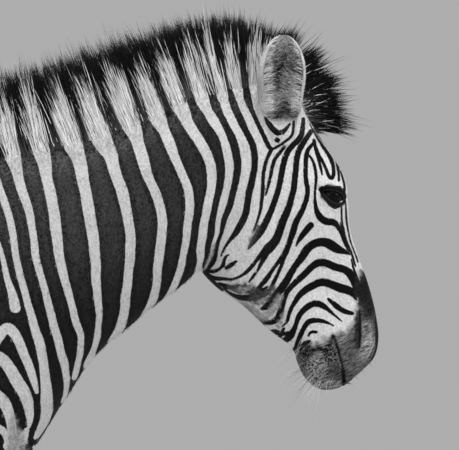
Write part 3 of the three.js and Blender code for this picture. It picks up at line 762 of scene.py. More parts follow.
# Black stripes of the cheek and the sides of the face, in the same way, with one black edge of painted shade
# under the throat.
FACE_BLACK = [
    ([10, 10, 9, 8.5, 8, 8, 7.5, 7, 6.5, 3], [(214, 139), (219, 155), (221, 172), (218, 190), (214, 206),
     (212, 222), (209, 240), (206.5, 252), (204, 262), (201, 273)]),
    ([8.5, 8.5, 8, 7.5, 7, 6, 4, 5, 6, 3], [(221, 116), (233, 140), (238, 160), (236, 180), (231, 200),
     (225, 216), (219.5, 237), (216, 251), (213, 262), (206, 273)]),
    ([7, 7, 7, 7, 7, 7, 7.5, 7, 4, 2.6, 1.6], [(237, 112), (248, 135), (255, 152), (254, 172), (250, 188),
     (247, 206), (243.5, 220), (237, 231), (229.5, 241), (225, 249), (221, 256)]),
    ([1.6, 2.8, 4, 4, 3], [(229, 255.5), (226, 257), (224, 261), (223.5, 265.5), (220, 268.5)]),
    ([2, 5, 4], [(236.5, 261.5), (231.5, 265), (226.5, 268.5)]),
    ([3.5, 4.5, 2.5], [(209.5, 272), (215, 271.5), (220.5, 269)]),
    ([4, 5.5, 5, 4.5, 3.4, 2.6, 1.8], [(202, 271.5), (207, 275.5), (213, 278.5), (219, 279.3),
     (226, 279.5), (233, 279.5), (239, 277)]),
    # Painted shade: a black edge along the underside of the throat.
    ([6, 7, 6, 4], [(199, 272), (205, 278), (213, 284), (222, 291)]),
    ([3, 5.5, 5, 2], [(219, 284), (225, 287), (231, 288), (237, 287)]),
    ([2.5, 4, 6, 7, 7, 5.5, 4.5], [(224, 289.5), (232, 295.5), (240, 298.5), (248, 298.8), (256, 297),
     (263, 295), (268, 292)]),
    ([2, 4.5, 5, 3], [(248, 293), (254, 292.5), (261, 291.5), (267, 288)]),
    ([4, 4, 3], [(245, 309), (250, 310), (253, 314)]),
    ([4, 5, 4], [(257, 323), (262, 322), (266, 324)]),
    ([5, 5, 3], [(268, 337), (273, 333), (279, 333)]),
    ([3, 4, 5, 5], [(284, 330), (281, 337), (277, 343), (272, 346)]),
    ([4.5, 5, 4.6, 4, 4, 4, 3, 2], [(254, 114), (265, 138), (270, 147.5), (272.7, 149), (267, 160),
     (263.5, 174), (262.7, 188), (261, 206), (257.5, 221), (254, 231)]),
    ([3, 6, 6.5, 5, 3], [(262, 109), (269, 123), (277, 132), (285, 130.5), (290, 122)]),
    ([5, 5], [(277, 139), (278.2, 139.4)]),
    ([3, 3, 3], [(272.7, 149), (275, 148), (284, 142), (292, 136), (294, 129), (294, 120)]),
    ([3, 4, 4, 4, 3.5, 2.5], [(285, 146), (282, 151), (275, 160), (272, 170), (269.6, 181), (265.5, 194)]),
    ([4, 6, 6, 6, 6, 6.5, 7, 7.5, 7.5, 6, 2], [(304, 118), (302, 136), (290, 148), (283, 166), (280, 184),
     (275, 200), (270, 213), (266, 223), (260, 233), (254, 242), (249, 249)]),
    ([5, 6.5, 6.5, 6.5, 6.5, 7, 8, 8.5, 9, 10, 5, 4, 4.3, 4, 2.6, 2.4], [(312, 130), (301, 147),
     (297, 160), (295, 177), (294, 190), (290.5, 204), (285.5, 216), (281, 229), (276, 240), (268, 250),
     (261, 256), (256, 261), (251.5, 267), (246, 273), (238, 278), (230, 280)]),
    ([5, 5.5, 4, 3, 3.4, 2], [(269, 251), (264.5, 258), (261, 264), (257.5, 271), (253.5, 277),
     (249.5, 282.5)]),
    ([3.5, 4.6, 5, 5, 5, 5, 5.6, 6.5, 6.5, 6, 6, 6.5, 4, 4, 5.5, 4], [(316, 141), (309, 149), (307, 160),
     (306, 177), (308, 188), (307.5, 198), (303, 210), (297, 221), (294, 231), (290.5, 240), (287, 250),
     (283, 257.5), (277, 264), (272, 271), (266.5, 280), (257, 291)]),
    ([5, 4, 3.6, 4, 4.2, 3.6, 2], [(284, 257), (282, 265), (279.5, 271), (276.5, 277), (273.5, 283),
     (270.5, 290), (265, 297)]),
    ([1.5, 3, 3.5, 3.6, 2.6, 2.6, 4.5, 7, 7.5, 7, 4.6, 4, 2], [(310, 154), (313, 158), (316, 167),
     (317.2, 177), (315.5, 187), (315.3, 196), (316, 207), (319, 215), (327, 222), (335.5, 222),
     (341, 230), (345, 240), (350.5, 252.5)]),
    ([7, 6.6, 6, 4.5, 2], [(311.5, 225.5), (307, 230), (303, 235), (299.5, 240), (296.5, 246)]),
    ([3.5, 4, 3.6, 3, 2], [(315, 139), (318, 150), (320, 160), (321.5, 167), (323, 174)]),
    ([2.5, 3.4, 3.4, 3.4, 4, 4.4, 4.4, 4.6, 4, 3.4, 2.6, 2, 1.4], [(318.5, 148), (322, 158), (326, 166),
     (328, 172), (331, 177.5), (334, 176), (334.5, 168), (333, 161), (330, 155), (326, 149), (319, 138),
     (314, 129), (311, 122)]),
    ([1.6, 2.6, 3, 3.2, 3.6, 3.4, 3], [(315, 127), (323, 139), (330, 148), (335.5, 155), (338.6, 163),
     (340, 172), (340, 180)]),
    ([1.4, 2, 1.6], [(331, 146), (337, 154), (341.5, 162)]),
    ([1.6, 2.6, 3, 3, 2.4], [(342, 170), (344.3, 177), (345.6, 185), (345.4, 192), (344.5, 197)]),
    ([2, 5.5, 9, 10, 9.5, 9, 8.7, 8, 7, 7, 8, 8.5, 8, 8.5, 8, 3], [(351.5, 254.8), (346, 252.5),
     (339, 249.5), (333, 245.5), (326, 241.8), (317, 243), (309, 248), (302, 257), (297.5, 263),
     (293.5, 270), (287.5, 280), (281, 290), (276, 296), (272, 302), (267, 307.5), (261.5, 309.5)]),
    ([5, 8, 10, 8, 8, 8, 8, 7.6, 7, 6.5, 6, 5.6, 6, 7, 7, 5, 4], [(359, 296), (357.5, 289), (353, 276),
     (347, 270.5), (336, 267.5), (327, 263), (318, 263.5), (311, 268), (305, 275), (298.5, 281),
     (292, 287), (287, 293), (284, 301), (282, 310), (278.5, 319), (270, 325), (256, 320)]),
    ([2, 8, 8.5, 8, 8, 7.5, 7, 6, 5, 4.5, 4, 2.8, 1.6], [(357.5, 301), (352, 292), (341, 289),
     (331.5, 285), (322, 282.5), (313, 286.5), (305, 291.5), (299.5, 297), (295.5, 303), (292, 309),
     (289, 317), (286.5, 324), (281.5, 328.3)]),
    ([1.5, 3.5, 6, 6.5, 6.5, 6, 5.5, 5, 6, 8, 7.5, 6, 4], [(343, 322), (331.5, 312), (322, 305),
     (314, 304), (307, 308.5), (301, 315), (297.4, 322), (295, 329), (293, 334), (290, 339), (285.5, 342),
     (280, 344)]),
    ([4, 5, 3.4, 2.4], [(292, 334), (287, 335.5), (281, 336), (273, 334)]),
    ([3, 6, 5.5, 4], [(329.5, 300), (337, 306), (345.6, 312), (354, 314.6)]),
    ([1.5, 4.5, 6, 5.5, 5.5, 5.5, 5.5, 5], [(334, 326.6), (324.5, 322.3), (315, 321.5), (308, 324),
     (303.5, 331.5), (300, 341), (297, 349), (293, 357)]),
    ([3, 3.2, 2.6], [(317.5, 333.6), (312, 333.2), (310, 336.5)]),
    ([3, 5, 4, 2], [(311, 342), (306.5, 344), (303, 348), (301, 352)]),
]
# Fine black lines down the front of the nose, on the same drawing.
NOSE_LINES = [
    ([2, 2.2, 2.2, 1.8, 1.8, 2], [(342, 205), (342.8, 214), (343.6, 224), (347, 238), (352.5, 251),
     (357.5, 266)]),
    ([1.4, 2.2, 2.2, 1.8, 2], [(346.3, 200), (347, 210), (348, 224), (351.5, 241), (360, 262)]),
    ([1.4, 2.2, 2, 1.8], [(341.5, 222), (345.5, 236), (350.5, 248), (356, 264)]),
    ([2, 3, 3.4], [(353, 260), (356, 270), (360, 284), (363, 296)]),
]
EYE_PATCH = [
    (319.5, 187), (322.4, 185.3), (325, 186.6), (330, 186), (335, 185.2), (341.5, 185.4), (344, 188),
    (344.5, 195), (344, 203), (343, 206.5), (338.5, 208.7), (335.5, 209.7), (332.5, 208.4), (329, 205.4),
    (325, 200), (322.5, 196), (321, 191.5)
]
# A painted glint: a small white stroke at the lower front corner of the dark eye patch.
EYE_GLINT_STROKE = [([1, 1.9, 1.2], [(336.6, 202.4), (339, 203.6), (341.4, 205.6)])]
LID_BANDS = [
    ([2, 4, 3], [(325, 199), (331, 204.6), (338, 207)]), ([2, 3, 2.4], [(323, 188), (332, 188.2),
    (341, 188.5)])
]
CHEEK_LINE = [
    (262, -40), (262, 118), (214, 139), (221, 168), (214, 208), (209, 240), (204, 262), (198, 300)
]
# Places where black and white go to a mottled grey, on the throat and the edge of the jaw, with the lightness
# of each: partly dust and wear on the hair, partly painted shade where the jaw and throat turn under.
DUST_AND_SHADE = [
    (0.07, [([5, 8, 7, 2], [(258, 226), (255, 234), (251, 242), (249, 249)]), ([5, 11, 12, 8],
     [(228, 288), (238, 289), (248, 288), (258, 294)]), ([6, 13, 12, 6], [(250, 300), (258, 300),
     (266, 298), (273, 288)])]),
    (0.30, [([6, 12, 12, 8], [(240, 304), (250, 310), (257, 318), (266, 318)]), ([7, 9, 7], [(268, 316),
     (275, 308), (280, 298)]), ([4, 5, 3], [(278, 328), (282, 321), (284, 314)]), ([3, 4, 3], [(213, 246),
     (210.5, 256), (206, 266)])]),
    (0.30, [([5, 13, 20, 24], [(16, 416), (18, 430), (20, 446), (18, 464)])]),
]


def stroked(place, strokes):
    """How far places are inside the nearest stroke of a table, negative outside, in squares."""
    inside = np.full(len(place), -40.0)
    for widths, path in strokes:
        path = strung(path, 4)
        for _ in range(3):
            path[1:-1] = (path[:-2] + 2 * path[1:-1] + path[2:]) / 4
        near = ((place > path.min(0) - 26) & (place < path.max(0) + 26)).all(1)
        if near.any():
            away, along = to_path(place[near], path)
            wide = np.interp(along / (len(path) - 1), np.linspace(0, 1, len(widths)), widths)
            inside[near] = np.maximum(inside[near], wide / 2 - away)
    return inside


def is_inside(place, outline):
    """Which places are inside a closed outline."""
    outline = np.asarray(outline, float)
    inside = np.zeros(len(place), bool)
    for (x1, y1), (x2, y2) in zip(outline, np.roll(outline, -1, 0)):
        if y1 != y2:
            crosses = (place[:, 1] > min(y1, y2)) & (place[:, 1] <= max(y1, y2))
            inside ^= crosses & (place[:, 0] < x1 + (place[:, 1] - y1) * (x2 - x1) / (y2 - y1))
    return inside


def within(place, outline):
    """How far places are inside a closed outline, negative outside."""
    away, _ = to_path(place, [*outline, outline[0]])
    return np.where(is_inside(place, outline), away, -away)


def read(table, at):
    """The value of a table of pairs at given places, between its rows."""
    return np.interp(at, *zip(*table))


def ripple(points, length, seed):
    """A smooth random field, about -1 to 1, with swells of the given length."""
    rng = np.random.default_rng(seed)
    out = np.zeros(len(points))
    for _ in range(9):
        way = rng.normal(size=3)
        way *= rng.uniform(0.7, 1.4) * 2 * np.pi / length / np.linalg.norm(way)
        out += np.sin(points @ way + rng.uniform(0, 6.3))
    return out / 3


def zigzag(phase):
    """1 in the middle of each black stripe and -1 in the middle of each white one."""
    return 4 * np.abs((phase - np.floor(phase)) - 0.5) - 1


# Middles of the white stripes of the barrel at the level of the shoulder joint, from the neck back.
BARREL_WHITES = [420, 378, 337, 298, 256, 202, 136, 56, -30, -116, -202, -290, -378]
# The middle of the fan of stripes on the haunch, and how many stripes it takes in.
FAN = (-335.0, 770.0)
FAN_TURNS = 4.3
# Heights of the middles of the black bands on the legs, from the shoulder and the stifle down.
FORE_BANDS = [
    1160, 1085, 1011, 949, 884, 832, 787, 745, 711, 679, 649, 620, 592, 565, 539, 513, 487, 461, 434, 407,
    381, 356, 332, 308, 285, 262, 240, 218, 196, 174, 152, 130, 100
]
# How far apart the stripes of the hind leg are, by height.
HIND_STEP = [(100, 24), (300, 29), (470, 37), (560, 46), (650, 62), (770, 84), (1400, 96)]


def body_stripes(points):
    """How far points behind the neck are inside a black stripe, in millimetres."""
    p = square_stance(points)
    y = np.abs(points[:, 1])
    swell = 9 * ripple(points, 330, 3) + 4 * ripple(points, 120, 4)
    x, z = p[:, 0] + swell, p[:, 2] + 7 * ripple(points, 260, 5)
    # The barrel, leaning forward with the neck stripes at its front.
    lean = 0.24 * smooth_step(x, 60, 340)
    whites = np.array(BARREL_WHITES, float)
    spots = x + lean * (z - 1200)
    barrel = -0.5 - np.interp(-spots, -whites, np.arange(len(whites)))
    barrel_step = np.interp(-spots, -(whites[:-1] + whites[1:]) / 2, -np.diff(whites))
    # The haunch: stripes spread like a fan from the flank fold, then lie level down the leg.
    fx, fz = FAN
    turn = np.arctan2(z - fz, np.maximum(fx - x, 1))
    start = -0.5 - np.interp(-fx, -whites, np.arange(len(whites)))
    fan = start - (1 - turn / (np.pi / 2)) * FAN_TURNS
    heights = np.arange(fz, 40, -10.0)
    down = np.concatenate([[0], np.cumsum(10 / read(HIND_STEP, heights))[:-1]])
    level = start - FAN_TURNS - np.interp(-z, -heights, down)
    hind = np.where(z > fz, fan, level)
    phase = np.where(x < fx, hind, barrel)
    fan_step = np.hypot(x - fx, z - fz) * np.pi / 2 / FAN_TURNS
    hind_step = np.where(z > fz, fan_step, read(HIND_STEP, z))
    period = np.clip(np.where(x < fx, hind_step, barrel_step), 20, 130)
    # Black is a little wider than white, most of all towards the neck.
    wide = np.interp(x, [-300, 150], [0.04, 0.10])
    black = (zigzag(phase) + wide) * period / 4
    # One wide black stripe in front of the shoulder blade, up to where the neck's stripes begin.
    black = np.maximum(black, np.minimum(np.where(x > 200, spots - 350, -40), 12))
    # The foreleg: nested peaks over the shoulder that flatten into level bands.
    axis = np.interp(z, [0, 430, 900, 1060, 1200], [330, 318, 330, 372, 372])
    steep = np.interp(z, [560, 700, 860, 1000, 1100], [0.0, 0.25, 0.9, 1.9, 2.4])
    peak = z + steep * np.sqrt((x - axis) ** 2 + 100)
    bands = np.array(FORE_BANDS, float)
    fore = np.interp(-peak, -bands, np.arange(len(bands)))
    gap = np.interp(-peak, -bands[:-1], -np.diff(bands))
    fore_black = zigzag(fore) * gap / 4
    reach = smooth_step(peak, 1096, 1080) * smooth_step(x + 0.25 * (900 - z), 175, 205)
    black = black + reach * (fore_black - black)
    # Stripes thin out under the belly and inside the legs, and a black line runs below and along the back.
    under = smooth_step(z, 790, 715) * smooth_step(y, 170, 60)
    under = under * smooth_step(x, -420, -300) * smooth_step(x, 330, 200)
    black = black - 16 * under
    leg_middle = np.interp(z, [0, 500, 900], [115, 125, 150])
    inner = smooth_step(leg_middle - y, 2, 30) * smooth_step(z, 800, 640)
    black = black - 7 * inner
    belly_line = np.where((z < 830) & (x > -420) & (x < 380), 15 - y, -40)
    black = np.maximum(black, belly_line)
    spine = np.maximum(np.minimum(black, y - 19 - 3 * ripple(points, 60, 6)), 11 - y)
    black = np.where(smooth_step(z, 1120, 1180) > 0.5, spine, black)
    # The dock: short bars across it.
    dock = (points[:, 0] < -862) & (z > 700)
    bars = zigzag(points[:, 2] / 30 + 0.2) * 7.5 - 0.22 * y
    return np.where(dock, bars, black)


def stripe_field(points):
    """How far points of the drawing are inside a black stripe, in millimetres."""
    place = side_drawing(points)
    drift = np.stack([ripple(points, 60, 1), ripple(points, 60, 2)], 1) * 0.4
    left = smooth_step(points[:, 1], 0, 30)[:, None]
    drift += left * 1.6 * np.stack([ripple(points, 90, 7), ripple(points, 90, 8)], 1)
    place = place + drift
    here = (points[:, 0] > 300) & (points[:, 2] > 640)
    out = np.full(len(points), 40.0)
    neck = -stroked(place[here], NECK_WHITE)
    face = stroked(place[here], FACE_BLACK + NOSE_LINES)
    face = np.maximum(face, within(place[here], EYE_PATCH))
    # The painted glint, in white, over the eye patch.
    face = np.minimum(face, -stroked(place[here], EYE_GLINT_STROKE))
    # The front of the face: fine lines that spread from the forelock and draw in again down the nose.
    y = np.abs(points[here, 1])
    v = place[here][:, 1]
    step = np.interp(v, [110, 150, 190, 230, 290], [13, 19, 22, 17, 12])
    front = zigzag((y + 1.5 * ripple(points[here], 60, 9)) / step) * step / 4 / SQUARE
    facing = smooth_step(y, 30, 17) * (points[here, 0] > 880) * smooth_step(v, 300, 290)
    face = face + facing * (front - face)
    side = within(place[here], CHEEK_LINE + [(198, 470), (600, 470), (600, -40)])
    drawn = neck + smooth_step(side, -7, 7) * (face - neck)
    out[here] = drawn * SQUARE
    share = smooth_step(place[:, 0], -12, -2) * smooth_step(points[:, 2], 806, 836) * here
    body = body_stripes(points)
    return body + share * (out - body)


MUZZLE = [
    (296, 358), (298, 353), (303, 347), (309, 343), (315, 345), (320, 342), (327, 338), (334, 334),
    (340, 333), (346, 333), (350, 328), (354, 320), (356.5, 312), (357.5, 302), (358, 290), (359, 284),
    (360, 276), (362, 270), (420, 262), (420, 420), (290, 420), (289, 362)
]
# Patches of the muzzle: middle on the drawing, half sizes across and down, tilt and how light it is.
MUZZLE_PATCHES = [
    ((367, 290), (8, 13), 0.25, 0.006),
    ((371, 308), (6, 9), 0.3, 0.010),
    ((362, 316), (4, 8), 0.3, 0.07),
    # Painted shade in the nostril's slit.
    ((358, 324), (2.6, 9), 0.0, 0.022),
    ((359.5, 340), (2.6, 10), 0.05, 0.025),
    ((352, 330), (3.5, 4), 0.0, 0.16),
    ((368.5, 332), (4, 8), -0.1, 0.36),
    ((369, 346), (5.4, 9), 0.1, 0.36),
    ((364, 357), (5, 6), 0.5, 0.22),
    ((345, 340), (6, 6), 0.3, 0.17),
    ((350, 356), (7, 12), 0.3, 0.11),
    ((348, 374), (10, 8), 0.6, 0.09),
    ((356, 368), (6, 6), 0.6, 0.14),
    ((331, 356), (6, 12), 0.1, 0.07),
    ((336, 374), (6, 8), 0.1, 0.06),
    ((318, 368), (10, 11), 0.5, 0.26),
    ((306, 354), (7, 6), 0.2, 0.05),
    ((303, 364), (5, 7), 0.2, 0.13),
    ((312, 348), (7, 3), 0.0, 0.05),
    ((324, 386), (14, 4), 0.0, 0.30),
    ((324, 343), (5, 4), 0.0, 0.25),
]
# The chin's patches, which are speckled, lie left of and below this.
CHIN = (334, 345)
# The muzzle's drawn details, lighter or darker than the skin round them by the first number: the lips'
# pale edge, the dark slit and corner of the mouth, painted shade along the nostril's rim, and the dark line
# down the very front.
MUZZLE_LINES = [
    (1.9, [
        ([1, 1.6, 1.6, 1.2], [(334.4, 340), (337.5, 352), (340.5, 363), (344, 372)]),
    ]),
    (0.1, [
        ([1.5, 3.8, 2.2], [(331, 340.5), (334, 338), (337, 335)]),
        ([2, 2.6, 1.5], [(309, 347), (321, 350.5), (331, 352)]),
        ([5, 5, 3], [(302, 353), (306, 348), (311, 344)]),
        ([3, 3.4, 3.2], [(344, 372), (345, 379), (345, 388)]),
        ([1, 1.4, 1.2, 1], [(336.4, 341), (339.6, 352), (342.4, 363), (345, 372)]),
    ]),
    (0.12, [
        ([1, 2.4, 2.6, 2.6, 2], [(377, 318), (378.6, 330), (379, 342), (378, 354), (374, 362)]),
        # Painted shade along the nostril's rim, where its slit is shaded.
        ([1, 3, 3, 2], [(361, 310), (361.5, 325), (361.5, 338), (361, 348)]),
    ]),
]


def off_patch(place, patch):
    """How far places are from a patch's middle, in its half sizes, squared."""
    (u, v), (wide, tall), tilt, _ = patch
    c, s = math.cos(tilt), math.sin(tilt)
    du, dv = place[:, 0] - u, place[:, 1] - v
    return ((du * c + dv * s) / wide) ** 2 + ((dv * c - du * s) / tall) ** 2


def patched(place, patches, ground, share):
    """How light places are under soft oval patches, over a ground of the given lightness and share."""
    total = np.full(len(place), share)
    tone = ground * total
    for patch in patches:
        weight = np.exp(-2.0 * off_patch(place, patch))
        total += weight
        tone += weight * patch[3]
    return tone / total


def muzzle_tone(points):
    """The bare muzzle: how much it shows, how light it is, and how speckled."""
    place = side_drawing(points)
    edge = within(place, MUZZLE) + 1.2 * ripple(points, 16, 11) + 0.5 * ripple(points, 5, 12)
    shows = smooth_step(edge, -3.0, 4.5) * (points[:, 0] > 860) * (points[:, 2] < 1160)
    tone = patched(place, MUZZLE_PATCHES, 0.08, 0.03)
    speckle = np.zeros(len(points))
    for patch in MUZZLE_PATCHES:
        u, v = patch[0]
        if u < CHIN[0] and v > CHIN[1]:
            speckle = np.maximum(speckle, np.exp(-0.8 * off_patch(place, patch)))
    for share, strokes in MUZZLE_LINES:
        tone *= 1 + (share - 1) * smooth_step(stroked(place, strokes), -0.9, 0.5)
    return shows, np.clip(tone, 0.004, 0.9), speckle


def floats(mesh, name, values):
    layer = mesh.attributes.get(name) or mesh.attributes.new(name, "FLOAT", "POINT")
    layer.data.foreach_set("value", np.asarray(values, np.float32))


def ear_place(points):
    """Where points are on the ears: how much on one, its height 0 to 1, and how far out and inside."""
    s = strung(EAR, EAR_STEPS)
    z = points[:, 2]
    rows = [np.interp(z, s[:, 1], s[:, c]) for c in (0, 2, 4, 5)]
    x = (points[:, 0] - (rows[0] + rows[1]) / 2) / ((rows[0] - rows[1]) / 2)
    y = (np.abs(points[:, 1]) - rows[2]) / (rows[3] * 0.95)
    on = smooth_step(z - 18 * x**2, 1411, 1424) * (np.hypot(x, y) < 1.3)
    cup = smooth_step(np.hypot(x, y), 0.97, 0.92) * (z > 1425)
    return on, (z - s[0, 1]) / (s[-1, 1] - s[0, 1]), x, y, cup


# Patches of the hide inside the ear, given like those of the muzzle: pale rims, and painted shade in the
# hollow's middle.
EAR_PATCHES = [
    ((262, 72), (4.5, 22), 0.12, 0.40),
    ((268, 46), (5, 8), 0.5, 0.42),
    ((281, 39), (9, 5), 0.0, 0.48),
    ((296, 48), (4, 8), -0.5, 0.44),
    ((301, 66), (3.4, 14), 0.0, 0.36),
    ((299, 88), (3.4, 14), 0.0, 0.62),
    ((270, 70), (3.4, 14), 0.1, 0.16),
    ((276, 58), (4, 8), 0.3, 0.30),
    ((285, 60), (4, 5), 0.4, 0.07),
    ((291, 62), (4.4, 7), 0.0, 0.28),
    ((297, 62), (2.5, 7), 0.0, 0.13),
    # Painted shade down the middle of the hollow.
    ((281, 69), (6, 4.5), -0.5, 0.035),
    ((276, 76), (4, 6), -0.2, 0.04),
    ((276, 87), (4.4, 6), -0.2, 0.03),
    ((288, 78), (6, 8), 0.0, 0.40),
    ((289, 92), (8, 6), 0.0, 0.62),
    ((265, 92), (5, 10), -0.2, 0.45),
    ((268, 103), (7, 6), 0.7, 0.70),
    ((281, 101), (5, 4), 0.0, 0.60),
    # Painted shade low in the hollow.
    ((284, 108), (6, 4), 0.0, 0.06),
    ((275, 115), (6, 3.6), 0.2, 0.09),
    ((294, 112), (5, 8), 0.0, 0.30),
    ((281, 124), (8, 4), 0.0, 0.66),
]


def ear_tone_and_shade(points):
    """How light the thin-haired hide inside the ear is, with painted shade down the hollow's middle."""
    return patched(side_drawing(points), EAR_PATCHES, 0.4, 0.02)


# How deep the blacks and how white the whites are, along the side drawing. Blacks further back on the neck
# are lifted by a painted sheen, and whites are greyer further back.
DEEPER_FORWARD = [(0, 0.10), (100, 0.16), (180, 0.30), (240, 0.45), (290, 0.72), (320, 0.9), (345, 0.97)]
WHITER_FORWARD = [(0, 0.05), (150, 0.2), (220, 0.5), (290, 0.85), (340, 1.0)]
# The line of the mane's lowest roots, from the withers to the poll.
ROOT_LINE = [
    (175, 1296), (300, 1312), (400, 1338), (470, 1349), (530, 1359), (585, 1377), (642, 1395), (687, 1421),
    (735, 1438), (774, 1456), (820, 1462), (860, 1462), (935, 1430), (990, 1416)
]


def above_roots(points):
    return points[:, 2] - read(ROOT_LINE, points[:, 0])


def in_squares(points):
    """Which points the side drawing's strokes cover: the head, the neck and the point of the shoulder."""
    return (points[:, 0] > 330) & (points[:, 2] > 780)


def levels_of(points):
    """How light the black and the white hair is, strongest on the face, with painted sheen and shade, and how
    near the crest they are.
    """
    u, v = side_drawing(points).T
    here = in_squares(points)
    # A painted sheen lifts the blacks further back on the neck.
    deep = read(DEEPER_FORWARD, u)
    # Painted shade deepens the blacks low on the neck, towards the throat.
    low = 0.55 * smooth_step(v, 210, 350) * smooth_step(u, 250, 200)
    deep = np.where(here, np.clip(deep + low, 0, 0.97), 0.3)
    whiter = np.where(here, read(WHITER_FORWARD, u), 0.2)
    lids = smooth_step(stroked(side_drawing(points), LID_BANDS), -1.5, 1)
    ink = 0.046 * (1 - deep) ** 2 + 0.003 + 0.03 * lids
    above = above_roots(points)
    behind_brow = here * (points[:, 0] < 1000)
    crest = smooth_step(above, -46, 14) * behind_brow
    # A painted sheen lightens the blacks just under the mane's roots, and painted shade dims the whites near
    # them.
    ink = ink + 0.03 * np.exp(-(((above + 12) / 18) ** 2)) * behind_brow
    return ink, 0.55 + 0.22 * whiter - 0.06 * crest, crest


def marked(mesh, points):
    """Gives a mesh on the hide its markings, from where its points are on the drawing."""
    on, up, x, y, cup = ear_place(points)
    back = zigzag((up - 0.31) / 0.34) * 14 - 5
    back = np.where(y < -0.25, back, -14)
    back = np.where(up > 0.9, -14, back)
    behind = 9 - 60 * np.abs(y + 0.3)
    back = np.where((x < 0) & (up > 0.25) & (up < 0.85), np.maximum(back, behind), back)
    stripe = stripe_field(points)
    # Above its pale root the back of the ear is barred.
    back = back * smooth_step(up, 0.3, 0.4) - 14 * smooth_step(up, 0.4, 0.3)
    floats(mesh, "stripe", stripe + on * (back - stripe))
    # Mottled grey, partly dust and wear, partly painted shade under the jaw and throat.
    worn, worn_tone = np.zeros(len(points)), np.zeros(len(points))
    for light, strokes in DUST_AND_SHADE:
        edge = stroked(side_drawing(points), strokes) + 1.2 * ripple(points, 9, 13)
        share = smooth_step(edge, -1.6, 2.0)
        worn_tone = np.where(share > worn, light, worn_tone)
        worn = np.maximum(worn, share)
    floats(mesh, "worn", worn * in_squares(points))
    floats(mesh, "worn_tone", worn_tone)
    shows, tone, speckle = muzzle_tone(points)
    # Inside the ear the hide is thinly haired and grey, with painted shade darkest down its middle.
    rim = smooth_step(np.hypot(x, y), 0.93, 0.99)
    rim = rim * np.maximum(smooth_step(up, 0.56, 0.74), smooth_step(x, 0.1, 0.5))
    inner = on * np.maximum(cup, smooth_step(y, -0.24, -0.08) * (1 - rim))
    floats(mesh, "muzzle", np.maximum(shows, inner))
    floats(mesh, "fold", shows)
    floats(mesh, "tone", np.where(inner > 0.01, ear_tone_and_shade(points), tone))
    for key, values in zip(("ink", "chalk", "crest"), levels_of(points)):
        floats(mesh, key, values)
    floats(mesh, "speckle", speckle)
    r, along, rise, facing = eye_place(points)
    top, bottom = slit_edges(along)
    bare = np.maximum(bottom - rise, rise - top) + 3 * (np.abs(along) > SLIT_HALF)
    floats(mesh, "lid", smooth_step(bare, 5, 1.5) * (r < 34) * (facing > 0))


SHORTEST_EDGE = 1.8
STRIPE_EDGE_REACH = 4.5


def sharpened(mesh, tolerance):
    """Halves the edges on which the markings bend too much to be carried by their two ends."""
    co, edges = vertices_of(mesh), neighbours(mesh)
    middle = (co[edges[:, 0]] + co[edges[:, 1]]) / 2
    long = np.linalg.norm(co[edges[:, 0]] - co[edges[:, 1]], axis=1) > SHORTEST_EDGE
    near = long & (middle[:, 0] > 330) & (middle[:, 2] > 800)
    at_ends = stripe_field(co)
    at_middle = stripe_field(middle[near])
    off = np.abs(at_middle - at_ends[edges[near]].mean(1))
    bent = (off > tolerance) & (np.abs(at_middle) < STRIPE_EDGE_REACH)
    halve_edges(mesh, np.flatnonzero(near)[bent])


for tolerance in (0.5, 0.4):
    sharpened(skin.data, tolerance)
marked(skin.data, vertices_of(skin.data))


class Wire:
    """A shader socket that can be reckoned with: each sum or product adds its Math node."""

    def __init__(self, paint, socket):
        self.paint, self.socket = paint, socket

    def math(self, operation, *others):
        return self.paint.node("Math", {"operation": operation}, dict(enumerate((self, *others))))

    def __add__(self, other):
        return self.math("ADD", other)

    def __sub__(self, other):
        return self.math("SUBTRACT", other)

    def __rsub__(self, other):
        return self.paint.wire(other).math("SUBTRACT", self)

    def __mul__(self, other):
        return self.math("MULTIPLY", other)

    def step(self, low, high):
        return self.paint.node(
            "MapRange",
            {"interpolation_type": "SMOOTHSTEP"},
            {"Value": self, "From Min": low, "From Max": high},
        )

    __radd__ = __add__
    __rmul__ = __mul__


class Nodes:
    """A node tree wired by expressions."""

    def node(self, kind, settings=(), inputs=(), output=0):
        """Any node: its type, its settings (a ramp's stops too), then the values or wires of its sockets."""
        made = self.tree.nodes.new(kind if kind.startswith(("Geometry", "Function")) else "ShaderNode" + kind)
        for key, value in dict(settings).items():
            setattr(made, key, value)
        for key, value in dict(inputs).items():
            self.join(made.inputs[key], value)
        return Wire(self, made.outputs[output])

    def join(self, socket, value):
        if isinstance(value, Wire):
            self.tree.links.new(value.socket, socket)
        else:
            socket.default_value = value

    def wire(self, value):
        return self.node("Math", {"operation": "ADD"}, {0: value, 1: 0.0})


class Paint(Nodes):
    """A material under construction, with its Principled finish."""

    def __init__(self, name):
        self.material = bpy.data.materials.new(name)
        self.material.use_nodes = True
        self.tree = self.material.node_tree
        self.finish = self.tree.nodes["Principled BSDF"]

    def field(self, name):
        """A number that the mesh carries at its points."""
        return self.node("Attribute", {"attribute_name": name}, output=2)

    def place(self):
        return self.node("TexCoord", output=3)

    def noise(self, scale, detail=2.0, rough=0.5, stretch=None, place=None):
        place = place or self.place()
        if stretch:
            place = self.node("VectorMath", {"operation": "MULTIPLY"}, {0: place, 1: stretch})
        inputs = {"Vector": place, "Scale": scale, "Detail": detail, "Roughness": rough}
        return self.node("TexNoise", {"noise_dimensions": "3D"}, inputs)

    def grey(self, value):
        return self.node("CombineColor", (), {0: value, 1: value, 2: value})

    def bump(self, height, depth, strength=1.0, under=None):
        inputs = {"Height": height, "Distance": depth, "Strength": strength}
        if under:
            inputs["Normal"] = under
        return self.node("Bump", (), inputs)

    def set(self, **values):
        for key, value in values.items():
            self.join(self.finish.inputs[key.replace("_", " ")], value)


